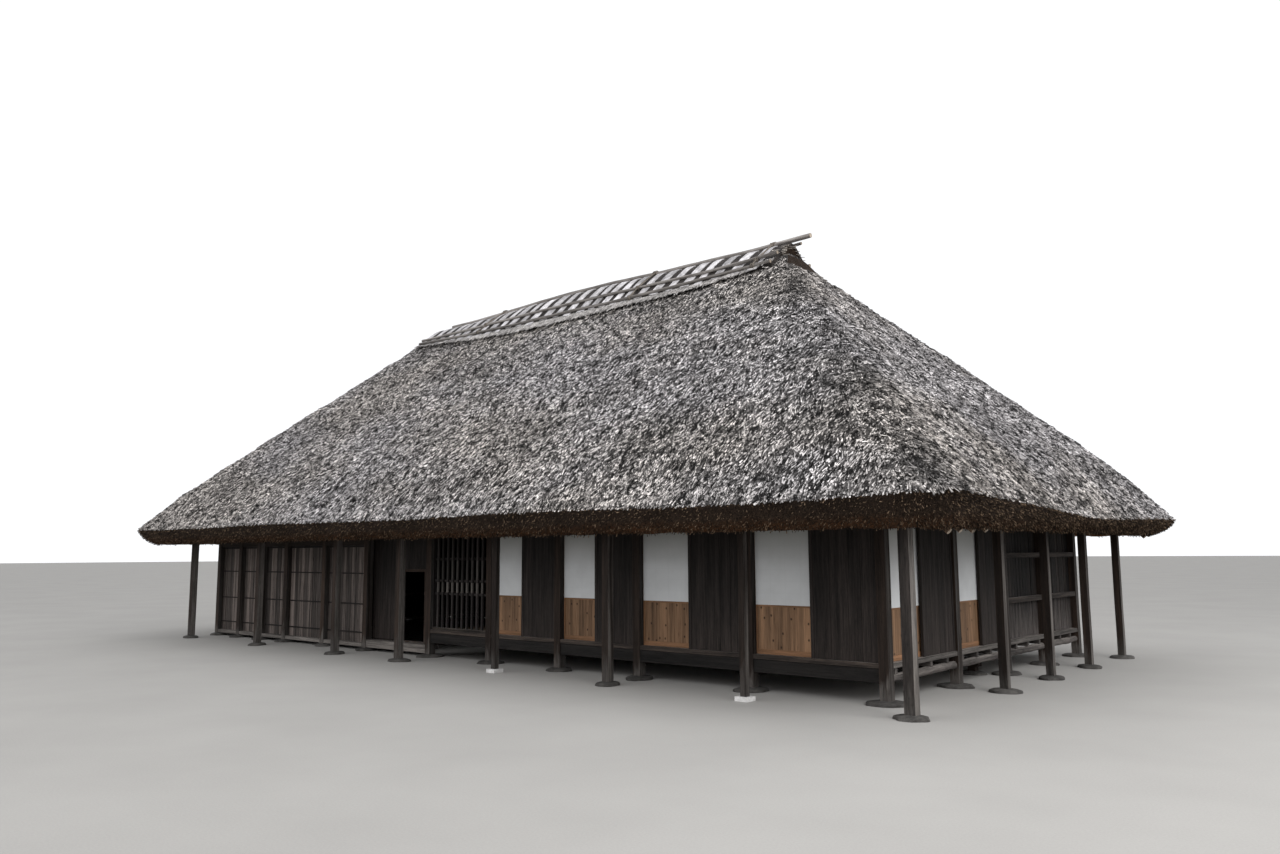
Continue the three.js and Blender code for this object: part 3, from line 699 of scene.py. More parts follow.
def rock(name, base, light):
    """Weathered stone with dark spots."""
    g = Look(name, 0.85)
    mixed = g.blend(g.noise(g.here(), 9, 5, 0.65), g.noise(g.here(), 120, 4, 0.7), 0.6)
    spotted = g.add("ShaderNodeTexVoronoi", {"Vector": g.here(), "Scale": 70.0}).outputs["Distance"]
    tone = g.mix(g.ramp(mixed, 0.38, 0.62), rgba(base), rgba(light))
    tone = g.mix(g.times(g.ramp(spotted, 0.0, 0.3, 1.0, 0.0), 0.25), tone, rgba(base, 0.5))
    return g.done(g.shaded(tone, g.ramp(g.attribute("tone"), 0, 1, 0.75, 1.2)), mixed, 0.6, 0.01)


def looks():
    """Each finish: its maker, its dark and light colour, and what differs from the maker's own values."""
    timber, thatch = settings("timber"), settings("thatch")
    post, board, grey, honey, pale = timber.post, timber.board, timber.grey, timber.honey, timber.bleached

    def of(c, *by):
        """A colour times one number, or times a number for each channel."""
        return tuple(n * k for n, k in zip(c, by if len(by) == 3 else by * 3))

    return {
        # The paler faces towards +X of the posts are partly bleaching and partly painted light from the
        # right
        "post_wood": (wood, of(post, 0.4), of(post, 1.6), dict(
            across=48, bump=0.8, foot=of(pale, 0.42), foot_to=0.3, lit_side_and_bleach=of(pale, 0.2))),
        "eave_post_wood": (wood, of(post, 0.32), of(post, 1.12), dict(
            across=42, bump=0.9, foot=of(pale, 0.22), foot_to=0.4, lit_side_and_bleach=of(pale, 0.42))),
        "corner_post_wood": (wood, of(grey, 0.06), of(grey, 0.36), dict(
            across=40, stretch=0.06, bump=1.0, foot=of(pale, 0.3), foot_to=0.35, lit_side_and_bleach=of(pale, 0.56))),
        "beam_wood": (wood, of(post, 0.4), of(post, 1.1), dict(across=40, bump=0.7)),
        "sill_wood": (wood, (0.009, 0.0075, 0.007), (0.07, 0.053, 0.043), dict(
            across=46, bump=0.9, worn=of(pale, 0.9))),
        "floor_beam_wood": (wood, (0.004, 0.0034, 0.0032), (0.0155, 0.013, 0.0115), dict(
            across=46, bump=0.9)),
        "foot_sill_wood": (wood, of(pale, 0.2), of(pale, 0.95), dict(across=46, bump=0.9, spread=0.45)),
        "side_sill_wood": (wood, of(pale, 0.06), of(pale, 0.5), dict(
            across=46, bump=0.9, worn=of(pale, 1.1))),
        "log_wood": (wood, (0.012, 0.01, 0.0095), (0.125, 0.111, 0.102), dict(
            across=34, stretch=0.07, bump=1.0, worn=of(pale, 0.8))),
        "door_wood": (wood, of(board, 0.4), of(board, 2.1), dict(
            across=55, bump=0.6, spread=0.25, foot=of(board, 3.2), foot_to=1.3)),
        "grey_board_wood": (wood, of(grey, 0.16), of(grey, 1.85), dict(
            across=46, stretch=0.03, bump=0.7, spread=0.6)),
        "side_board_wood": (wood, of(board, 0.4), of(board, 2.0), dict(
            across=50, bump=0.7, spread=0.75, foot=(0.135, 0.117, 0.109), foot_to=1.05)),
        "thin_rail_wood": (wood, of(board, 0.4), of(board, 1.6), dict(across=50)),
        "lattice_wood": (wood, (0.0095, 0.008, 0.0078), (0.041, 0.034, 0.032), {}),
        # Pale wood for short pieces on the lattice bars: painted light from a window behind, brighter low
        # and dimmer higher up
        "worn_bar_wood": (wood, of(pale, 0.2), of(pale, 0.75), dict(spread=0.45)),
        "rubbed_bar_wood": (wood, of(pale, 0.05), of(pale, 0.25), dict(spread=0.5)),
        "honey_wood": (wood, of(honey, 0.36), of(honey, 1.42), dict(
            across=26, stretch=0.03, rough=0.65, bump=0.35, spread=0.12, knotty=True)),
        "honey_rail_wood": (wood, of(honey, 0.6, 0.56, 0.52), of(honey, 1.2, 1.08, 1.0), dict(
            rough=0.65, bump=0.3, spread=0.1)),
        "rafter_wood": (wood, (0.06, 0.04, 0.028), (0.19, 0.125, 0.085), dict(across=40, stretch=0.06)),
        "cut_end_wood": (wood, (0.2, 0.16, 0.12), (0.5, 0.42, 0.34), dict(across=80, stretch=1.0)),
        "inside_wood": (wood, (0.05, 0.036, 0.028), (0.14, 0.1, 0.075), dict(
            across=14, stretch=1.0, inside=True)),
        "floor_wood": (wood, (0.1, 0.07, 0.05), (0.24, 0.17, 0.12), dict(
            across=40, stretch=0.03, rough=0.6, spread=0.2)),
        # The body under the straw ends stays dark, a third of the pale straw: painted shade between the
        # straw ends
        "thatch": (straw, of(thatch.dark, 0.4), of(thatch.pale, 0.33), dict(
            size=34, gap_shadows=0.9, warm=of(thatch.warm, 0.33), hips=0.4)),
        "thatch_straw": (straw, of(thatch.dark, 0.7), of(thatch.pale, 1.68), dict(
            size=55, gap_shadows=0.92, spread=0.9, power=0.86, warm=of(thatch.warm, 1.64), patch=0.42, hips=0.55)),
        "skirt_straw": (straw, (0.06, 0.053, 0.05), (0.72, 0.69, 0.67), dict(
            size=50, spread=0.85, power=0.9)),
        "cut_thatch": (straw, of(thatch.cut, 0.2), of(thatch.cut, 1.7), dict(
            size=85, patch=0.3, foot=of(thatch.under, 0.95))),
        "cut_straw": (straw, of(thatch.cut, 0.3), (0.3, 0.21, 0.14), dict(spread=0.95, power=4.0)),
        "under_thatch": (straw, of(thatch.under, 0.35), of(thatch.under, 1.25), dict(patch=0.3)),
        "dry_straw": (straw, (0.14, 0.12, 0.1), (0.66, 0.61, 0.55), dict(spread=0.8)),
        "bark": (wood, (0.24, 0.23, 0.232), (0.72, 0.7, 0.715), dict(across=22, stretch=0.08, bump=1.0)),
        # Dark old bark, darker still as painted shade in the spaces between the bark strips
        "old_bark": (wood, (0.006, 0.005, 0.0047), (0.045, 0.037, 0.033), dict(
            across=30, stretch=0.08, bump=1.0, spread=0.3)),
        "ridge_pole_wood": (wood, (0.07, 0.06, 0.055), (0.36, 0.335, 0.315), dict(
            across=42, stretch=0.05, bump=0.8)),
        "rope": (wood, (0.05, 0.042, 0.036), (0.22, 0.19, 0.16), dict(across=200, stretch=1.0)),
        "paper": (paper, settings("screen").paper, (0.25, 0.25, 0.225), {}),
        "stone": (rock, (0.028, 0.0262, 0.0245), (0.095, 0.089, 0.083), {}),
        "white_stone": (rock, (0.42, 0.41, 0.4), (0.66, 0.65, 0.64), {}),
    }


def finish(name):
    """The material of that name, made the first time it is asked for."""
    if name not in FINISHES:
        maker, dark, light, values = looks()[name]
        FINISHES[name] = maker("look_" + name, dark, light, **values)
    return FINISHES[name]


# Thatch


def between(table, at):
    """The value at a place along a list of (place, value), straight between them."""
    for (a, low), (b, high) in zip(table, table[1:]):
        if at <= b:
            return low + (high - low) * (at - a) / (b - a)
    return table[-1][1]


def ring(share):
    """Middle, half length and half width of the roof at a share of its slope."""
    right = ROOF_X - share * RUN_RIGHT
    left = -ROOF_X + share * RUN_LEFT
    return (right + left) / 2, (right - left) / 2, ROOF_Y - share * RUN_Y


def under(share):
    """Height of the underside of the thatch at a share of its slope."""
    return UNDER + RISE * (share - UNDER_SHARE)


def draw_rings(here, steps):
    """Draws the selected ring out from one (middle, half length, half width), height to the next."""
    for there in steps:
        (old_x, old_length, old_width), old_z = here
        (x, half_length, half_width), z = there
        bpy.ops.mesh.extrude_edges_move(TRANSFORM_OT_translate={"value": (x - old_x, 0, z - old_z)})
        scale = (half_length / old_length, half_width / old_width, 1)
        bpy.ops.transform.resize(value=scale, center_override=(x, 0, z))
        here = there
    return here


def shut(z, rise):
    """Draws the ring together into a line, which closes the shell."""
    bpy.ops.mesh.extrude_edges_move(TRANSFORM_OT_translate={"value": (0, 0, rise)})
    bpy.ops.transform.resize(value=(1, 0, 1), center_override=(0, 0, z + rise))
    bpy.ops.mesh.remove_doubles(threshold=0.0005)


def lip_lift(x, y):
    """How far the upper edge of the eave strays from level."""
    if x > 8.0 and abs(y) < 4.3:
        middle, ends = -0.11 * math.exp(-((y - 0.2) / 2.3) ** 2), y / ROOF_Y
        sag = middle - 0.05 * max(0, ends) + 0.04 * max(0, -ends)
    else:
        sag = 0.03 * bump_at(x * 0.35, y * 0.35, 4)
    return sag + 0.05 * math.exp(-((x - ROOF_X) ** 2 + (y + ROOF_Y) ** 2) / 1.2)


def thatch_shell():
    """The body of reed: a ring at the lip of the eave, drawn up to the ridge, and down and inwards."""
    nothing_selected()
    bpy.ops.mesh.primitive_plane_add(size=1, location=(0, 0, LIP))
    body = bpy.context.object
    body.scale = (2 * ROOF_X, 2 * ROOF_Y, 1)
    settle(body)
    mode("EDIT")
    bpy.ops.mesh.select_all(action="SELECT")
    bpy.ops.mesh.bevel(offset=settings("thatch").corner, affect="VERTICES", segments=8, profile=0.5)
    bpy.ops.mesh.select_all(action="SELECT")
    bpy.ops.mesh.delete(type="ONLY_FACE")
    for low, high, cuts in ((2, 99, 14), (0.9, 1.5, 13), (0.4, 0.7, 6)):
        pick(body, "EDGE", lambda e: low < span(body, e) < high)
        bpy.ops.mesh.subdivide(number_cuts=cuts)
        mode("OBJECT")
    pick(body, "EDGE", lambda e: True)
    shares = [0.004, 0.012, 0.024] + [0.024 + 0.976 * (i + 1) / 56 for i in range(56)]
    rings = [(ring(share), LIP + RISE * share + between(SWELL, share)) for share in shares]
    (x, half_length, _), _ = draw_rings((ring(0), LIP), rings)
    crest = [(0.44, 6.25), (0.36, 6.32), (0.24, 6.385), (0.12, 6.428), (0.05, 6.44)]
    crest = [((x, half_length - 0.045 * (i + 1), half), z) for i, (half, z) in enumerate(crest)]
    draw_rings(rings[-1], crest)
    shut(crest[-1][1], 0.004)
    mode("OBJECT")
    pick(body, "EDGE", lambda e: all(abs(body.data.vertices[i].co.z - LIP) < 1e-4 for i in e.vertices))
    face = [(0.06, 0.045), (0.17, 0.10), (0.33, 0.19), (0.52, 0.32), (0.72, 0.52), (0.88, 0.75), (1, 1)]
    steps = [(ring(UNDER_SHARE * inward), LIP - (LIP - UNDER) * down) for down, inward in face]
    steps += [(ring(share), under(share)) for share in (0.12, 0.25, 0.45, 0.65, 0.85, 1.0, 1.08, 1.12)]
    draw_rings((ring(0), LIP), steps)
    shut(steps[-1][1], 0.01)
    bpy.ops.mesh.select_all(action="SELECT")
    bpy.ops.mesh.normals_make_consistent(inside=False)
    mode("OBJECT")
    return body


# Which of the thatch's materials a face has
SLOPE, CUT, UNDERSIDE = 0, 1, 2


def thatch_body():
    """The shell with its slopes, cut eave and underside told apart, and its surface made uneven."""
    body = thatch_shell()
    for look in ("thatch", "cut_thatch", "under_thatch"):
        body.data.materials.append(finish(look))
    for f in body.data.polygons:
        c, n = f.center, f.normal
        if n.z < 0.05 and n.x * c.x / 2 + n.y * c.y > 0 and c.z < CUT_TOP:
            f.material_index = CUT
        elif n.z < -0.05:
            f.material_index = UNDERSIDE
        elif c.z > ABOVE_SLOPES and abs(n.x) > 0.7:
            f.material_index = CUT
    corners = {kind: set() for kind in (SLOPE, CUT, UNDERSIDE)}
    for f in body.data.polygons:
        corners[f.material_index].update(f.vertices)
    for v, (c, n) in spots(body):
        outer, cut = (v.index in corners[kind] for kind in (SLOPE, CUT))
        across = c.x if abs(n.y) > abs(n.x) else c.y
        if outer and c.z < ABOVE_SLOPES - 0.01:
            waves = 0.018 * noise.noise(c * 2.3) - 0.012 + 0.022 * bump_at(across * 6, c.z * 3.2, 3)
            v.co += n * (waves + 0.012 * noise.noise(c * 15))
        elif cut:
            v.co += n * (0.018 * noise.noise(c * 2.6) + 0.012 * noise.noise(c * 13))
        weight = 0.0
        if outer:
            share = min((ROOF_Y - abs(c.y)) / RUN_Y, (ROOF_X - c.x) / RUN_RIGHT, (ROOF_X + c.x) / RUN_LEFT)
            weight = max(0.0, 1 - share / 0.2)
        elif cut and c.z < CUT_TOP:
            weight = (c.z - UNDER) / (LIP - UNDER)
        v.co.z += lip_lift(c.x, c.y) * weight * weight * (3 - 2 * weight)
    body.name = body.data.name = "thatch"
    hold(body)
    bpy.ops.object.shade_smooth()
    return body


def blade(length, width, look):
    """One straw end: a three-sided wedge, thin where it goes into the thatch."""
    nothing_selected()
    bpy.ops.mesh.primitive_cone_add(
        vertices=3, radius1=width * 0.6, radius2=0, depth=length, rotation=(0, -math.pi / 2, 0)
    )
    piece = bpy.context.object
    piece.scale = (0.62, 1, 1)
    settle(piece)
    piece.data.materials.append(finish(look))
    return piece


def scatter_tree(name, straws, density, seed, lean, size, sticking):
    """Geometry nodes that lay straw ends down a slope, or let them stick out of a cut face."""
    tree = bpy.data.node_groups.new(name, "GeometryNodeTree")
    for way in ("INPUT", "OUTPUT"):
        tree.interface.new_socket(name="Geometry", in_out=way, socket_type="NodeSocketGeometry")
    g = Graph(tree)
    entry, last = g.add("NodeGroupInput"), g.add("NodeGroupOutput")
    where = {"Mesh": entry.outputs[0], "Density": density, "Seed": seed}
    points = g.add("GeometryNodeDistributePointsOnFaces", where).outputs
    if sticking:
        turned = g.add("FunctionNodeAlignRotationToVector", {"Vector": points["Normal"]}, axis="X")
    else:
        down = {"Rotation": points["Rotation"], "Vector": (0, 0, -1)}
        turned = g.add("FunctionNodeAlignRotationToVector", down, axis="X", pivot_axis="Z")

    def chance(low, high, number):
        """A random number or vector between two for each straw."""
        kind, first, result = ("FLOAT", 2, 1) if isinstance(low, float) else ("FLOAT_VECTOR", 0, 0)
        values = {first: low, first + 1: high, "Seed": number}
        return g.add("FunctionNodeRandomValue", values, data_type=kind).outputs[result]

    leaning = g.add("FunctionNodeEulerToRotation", {0: chance(*lean, seed + 1)}).outputs[0]
    turns = {0: turned.outputs[0], 1: leaning}
    instances = {
        "Points": points["Points"],
        "Instance": g.add("GeometryNodeObjectInfo", {"Object": straws}).outputs["Geometry"],
        "Rotation": g.add("FunctionNodeRotateRotation", turns, rotation_space="LOCAL").outputs[0],
        "Scale": chance(*size, seed + 2),
    }
    tones = {
        "Geometry": g.add("GeometryNodeInstanceOnPoints", instances).outputs[0],
        "Name": "tone",
        "Value": chance(0.0, 1.0, seed + 3),
    }
    toned = g.add("GeometryNodeStoreNamedAttribute", tones, data_type="FLOAT", domain="INSTANCE").outputs[0]
    tree.links.new(g.add("GeometryNodeRealizeInstances", {0: toned}).outputs[0], last.inputs[0])
    return tree


def scattered(name, body, test, straws, density, seed, lean, size, sticking=False):
    """A piece of straw ends over those faces of a body that pass the test."""
    piece = copy_of(body, Matrix())
    pick(piece, "FACE", lambda f: not test(f))
    bpy.ops.mesh.delete(type="FACE")
    mode("OBJECT")
    work(piece, "NODES", node_group=scatter_tree(name, straws, density, seed, lean, size, sticking))
    piece.name = piece.data.name = name
    hold(piece)
    bpy.ops.object.shade_flat()
    return piece


def slope_of(face):
    """Which slope a face of the thatch is on."""
    if face.material_index != SLOPE or face.center.z > ABOVE_SLOPES + 0.01:
        return None
    n = face.normal
    if abs(n.y) >= abs(n.x):
        return "front" if n.y < 0 else "back"
    return "right" if n.x > 0 else "left"


def on_slope(side, low=-ROOF_X, high=ROOF_X):
    """A test for faces of one slope between two places along X, above the fringe's foot."""
    return lambda f: slope_of(f) == side and low <= f.center.x < high and f.center.z > LIP + 0.05


def near_hip(face):
    """Whether a face of the thatch lies along the hip between the front and the right slope."""
    x, y, z = face.center
    off_hip = abs((ROOF_Y + y) / RUN_Y - (ROOF_X - x) / RUN_RIGHT)
    return slope_of(face) in ("front", "right") and y < 0 and z > LIP + 0.1 and off_hip < 0.1


def cut_side(face):
    """Which side's cut eave a face of the thatch is on; the left side goes with the front or the back."""
    if face.material_index != CUT or face.center.z > CUT_TOP:
        return None
    if face.center.x > 8.55:
        return "right"
    return "front" if face.center.y < -4 else "back"


class FARMHOUSE_OT_thatch(bpy.types.Operator):
    """The thatch: one body of reed with its cut eave and underside, and straw ends over it"""

    bl_idname = "farmhouse.thatch"
    bl_label = "Thatch"

    def execute(self, context):
        thatch = settings("thatch")
        body = thatch_body()
        straws = blade(thatch.straw_length, thatch.straw_width, "thatch_straw")
        long_straws = blade(0.22, 0.017, "thatch_straw")
        fringe = blade(0.07, 0.014, "thatch_straw")
        stubs = blade(0.05, 0.010, "cut_straw")
        size = ((0.45, 0.6, 0.6), (1.25, 1.5, 1.7))
        laid = (((-0.6, -0.26, -0.5), (0.6, 0.0, 0.5)), size)
        tousled = (((-1.1, -0.45, -1.1), (1.1, 0.05, 1.1)), size)
        out = (((-0.6, -0.6, -0.6), (0.6, 0.8, 0.6)), ((0.5, 0.5, 0.5), (1.6, 1.4, 1.6)), True)
        full, middle = thatch.front_straws, 1.0
        for name, test, kind, density, seed, way in (
            ("straw_front_left", on_slope("front", high=middle), straws, full, 11, laid),
            ("straw_front_right", on_slope("front", low=middle), straws, full, 18, laid),
            ("straw_right", on_slope("right"), straws, full * 1.1, 25, laid),
            ("straw_back", on_slope("back"), straws, full * 0.4, 32, laid),
            ("straw_left", on_slope("left"), straws, full * 0.48, 39, laid),
            ("straw_hip", near_hip, long_straws, 240, 47, tousled),
            ("straw_fringe", lambda f: slope_of(f) and f.center.z < LIP + 0.16, fringe, 1500, 53, laid),
            ("eave_straw_front", lambda f: cut_side(f) == "front", stubs, 1000, 60, out),
            ("eave_straw_right", lambda f: cut_side(f) == "right", stubs, 2000, 60, out),
            ("eave_straw_back", lambda f: cut_side(f) == "back", stubs, 450, 60, out),
        ):
            riding(scattered(name, body, test, kind, density, seed, *way), "house", "thatch")
        riding(body, "house", "thatch", "thatch_front", "thatch_back", "thatch_left", "thatch_right")
        delete(straws, long_straws, fringe, stubs)
        return {"FINISHED"}


# Ridge


def over_saddle(x, y, lift=0.0):
    """Height of the ridge's outer side at a place."""
    y = abs(y)
    return between(SADDLE, y) + lift + between(BOW, x) * max(0, 1 - y / 0.85)


def folded(x0, x1, reach, lift, thickness, look, cuts, tone=None, ragged=0.0, flare=0.0):
    """A sheet bent over the ridge; reach tells how far down it comes, flare how far its edge stands off."""
    nothing_selected()
    bpy.ops.mesh.primitive_grid_add(x_subdivisions=cuts[0], y_subdivisions=cuts[1], size=2)
    piece = bpy.context.object
    piece.scale = ((x1 - x0) / 2, 1, 1)
    piece.location = ((x0 + x1) / 2, 0, 0)
    settle(piece)
    for v in piece.data.vertices:
        x, y = v.co.x, v.co.y
        edge = reach(x)
        if ragged and abs(y) > 0.95:
            edge *= 1 + ragged * (bump_at(x * 7, y * 3, 2) + 0.7 * bump_at(x * 24, y, 5))
        off = flare * abs(y) ** 8
        v.co.y *= edge
        v.co.z = over_saddle(x, v.co.y, lift + off) + 0.010 * bump_at(x * 3, v.co.y * 5, lift * 50)
    fibred(piece, Vector(), AXES["y"], tone)
    piece.data.materials.append(finish(look))
    work(piece, "SOLIDIFY", thickness=thickness, offset=-1)
    return piece


class FARMHOUSE_OT_ridge(bpy.types.Operator):
    """The ridge: straw and old bark under pale bark strips, held by poles and rope"""

    bl_idname = "farmhouse.ridge"
    bl_label = "Ridge"

    def execute(self, context):
        layer = folded(
            CAP_LEFT, CAP_RIGHT - 0.02, lambda x: between(SKIRT, x), -0.008, 0.022, "skirt_straw", (190, 22),
            ragged=0.045, flare=0.03,
        )
        self.bark()
        straws = blade(0.24, 0.011, "skirt_straw")

        def low_edge(f):
            return f.normal.z > 0.2 and abs(f.center.y) > between(SKIRT, f.center.x) - 0.16

        skirt = scattered(
            "ridge_skirt", layer, low_edge, straws, 2600, 91,
            ((-0.5, -0.10, -0.32), (0.5, 0.12, 0.32)), ((0.3, 0.5, 0.5), (1.0, 1.4, 1.4)),
        )
        face = self.gable_face()
        ends = scattered(
            "gable_straw", face, lambda f: True, straws, 1500, 97,
            ((-0.5, -0.5, -0.6), (0.5, 0.6, 0.6)), ((0.15, 0.4, 0.4), (0.45, 1.0, 1.0)), True,
        )
        work(face, "SOLIDIFY", thickness=0.04, offset=-1)
        face.data.materials.append(finish("cut_thatch"))
        delete(straws)
        riding(joined("ridge_straw", [layer, skirt, ends, face, *self.stray_straws()]), "house", "bark")
        self.poles()
        self.rope()
        return {"FINISHED"}

    def bark(self):
        """Old bark under pale strips of uneven width that come down past the lower poles; the old bark is
        darker still, as painted shade in the spaces between the strips.
        """
        cover = [folded(
            CAP_LEFT + 0.02, CAP_RIGHT, lambda x: between(LOWER_POLE, x) + 0.01, 0.004, 0.05, "old_bark",
            (130, 16), tone=0.5, ragged=0.02,
        )]
        x = CAP_LEFT + 0.04
        while x < CAP_RIGHT - 0.14:
            wide = rng.uniform(0.12, 0.2)
            past = rng.uniform(0.01, 0.09)
            end = min(x + wide, CAP_RIGHT)
            cover.append(folded(
                x, end, lambda at: between(LOWER_POLE, at) + past, 0.02, 0.012, "bark", (4, 18), ragged=0.02,
            ))
            x += wide + rng.uniform(0.10, 0.19)
        riding(smooth(joined("ridge_bark", cover), 40), "house", "bark", "ridge_cap")

    def gable_face(self):
        """The upright end of the ridge, where reed ends stick out."""
        nothing_selected()
        bpy.ops.mesh.primitive_grid_add(x_subdivisions=8, y_subdivisions=20, size=2)
        piece = bpy.context.object
        for v in piece.data.vertices:
            down = 1 - (v.co.x + 1) / 2
            y = v.co.y * (0.36 + 0.18 * down)
            height = over_saddle(CAP_RIGHT, y, -0.045) - 0.30 * down
            v.co = Vector((CAP_RIGHT - 0.05 - 0.10 * down, y, height))
        return piece

    def stray_straws(self):
        """Long straws that have slipped out of the skirt or the gable end."""
        strays = []
        for _ in range(70):
            side = rng.choice((-1, 1))
            x = rng.uniform(CAP_LEFT + 0.2, CAP_RIGHT - 0.1)
            y = between(SKIRT, x) - 0.06
            reach = rng.uniform(0.12, 0.34)
            slip = rng.uniform(-0.14, 0.14)
            drop = reach * rng.uniform(0.62, 0.78)
            a = (x, side * y, over_saddle(x, y, -0.005))
            b = (x + slip, side * (y + reach * 0.66), over_saddle(x, y) - drop)
            strays.append(pole(a, b, 0.0035, "dry_straw"))
        for _ in range(26):
            y = rng.uniform(-0.34, 0.34)
            z = over_saddle(CAP_RIGHT, y, rng.uniform(-0.05, 0.0))
            a = (CAP_RIGHT - 0.22, y, z)
            out, slip = rng.uniform(0.0, 0.11), rng.uniform(-0.1, 0.1)
            b = (CAP_RIGHT + out, y + slip, z - rng.uniform(-0.02, 0.07))
            strays.append(pole(a, b, 0.0055, "dry_straw"))
        return strays

    def poles(self):
        """Two poles on top, and an upper and a lower one on each side."""
        # Both ends, distance from the middle, height or 0 where it follows the saddle, and radius
        runs = [(-4.02, 5.02, 0, TOP_POLE, 0.04), (-4.3, 4.77, 0.125, 6.6157, 0.026)]
        for side in (-1, 1):
            runs += [(-4.45, 4.70, side * UPPER_POLE, 0, 0.028), (-4.4, 4.64, side * 0.7, 0, 0.028)]
        poles = []
        for row, (x0, x1, at, height, radius) in enumerate(runs):
            ends = [(x, at, height) for x in (x0, x1)]
            piece = pole(*ends, radius, "ridge_pole_wood", "cut_end_wood", "fine_round")
            halved(piece, 0.3)
            for v, (c, n) in spots(piece):
                if height:
                    v.co.z += between(BOW, c.x)
                else:
                    upper = abs(at) == UPPER_POLE
                    y = UPPER_POLE if upper else between(LOWER_POLE, c.x)
                    v.co.y += math.copysign(y, at) - at
                    v.co.z += over_saddle(c.x, y, 0.042)
                    v.co.z += max(0, c.x - 3.2) * 0.03 * upper
                v.co.z += 0.011 * bump_at(c.x * 1.3, row * 9, 1)
                v.co.y += 0.011 * bump_at(c.x * 1.2, row * 9, 6)
                v.co += n * 0.004 * noise.noise(c * 9)
            poles.append(piece)
        riding(smooth(joined("ridge_poles_weathered", poles), 45), "house", "bamboo", "ridge_poles")

    def rope(self):
        """Three bands of rope: turns round each pole, and strands from pole to pole."""
        rope = []
        for x in (-2.3, 1.8, 4.32):
            ties = [(0, 0.04, TOP_POLE + between(BOW, x))]
            reaches = (UPPER_POLE, between(LOWER_POLE, x))
            for side in (-1, 1):
                ties += [(side * y, 0.028, over_saddle(x, y, 0.042)) for y in reaches]
            for at, radius, z in ties:
                for turn in range(5 if at == 0 else 4):
                    nothing_selected()
                    bpy.ops.mesh.primitive_torus_add(
                        location=(x + 0.018 * (turn - 2), at, z),
                        rotation=(0, math.pi / 2 + rng.uniform(-0.3, 0.3), rng.uniform(-0.3, 0.3)),
                        major_segments=14, minor_segments=6, major_radius=radius + 0.012, minor_radius=0.011,
                    )
                    coil = settle(bpy.context.object)
                    coil.data.materials.append(finish("rope"))
                    rope.append(fibred(coil, Vector((x, at, z)), AXES["x"]))
            for i, j in ((0, 1), (1, 2), (0, 3), (3, 4)):
                for shift in (-0.02, 0.02):
                    ends = [(x + s, y, z + r) for s, (y, r, z) in ((shift, ties[i]), (-shift, ties[j]))]
                    rope.append(pole(*ends, 0.011, "rope"))
        riding(smooth(joined("ridge_rope", rope), 60), "house", "bamboo")


# Roof timbers
# How far the beams' feet and the cross poles lie under the middle of the rafters
BEAM_DROP, POLE_DROP = 0.133, 0.078


def pole_height(reach, run, radius=0.042):
    """Height of a pole that lies under the thatch, by how far in from the eave it is and the slope's run."""
    return under(reach / run) - (radius + 0.004) * math.sqrt(1 + (RISE / run) ** 2)


def rafter_height(y, radius=0.042):
    return pole_height(ROOF_Y - abs(y), RUN_Y, radius)


def hip_x(side, y):
    """Where a hip is at a distance from the middle line."""
    gable, run = (GABLE_RIGHT, RUN_RIGHT) if side > 0 else (GABLE_LEFT, RUN_LEFT)
    return gable + side * (abs(y) - GABLE_HALF) * (run / RUN_Y)


def rafters(start, stop, low_at, top_at, place):
    """Rafters at uneven distances; place tells where one is at its reach out from the middle."""
    parts = []
    at = start
    while at < stop:
        low, top = low_at(at), top_at(at)
        if abs(top) < abs(low) - 0.15:
            radius = rng.uniform(0.03, 0.036)
            ends = [place(at, out, radius) for out in (low, top)]
            parts.append(pole(*ends, radius, "rafter_wood", "cut_end_wood"))
        at += rng.uniform(0.30, 0.37)
    return parts


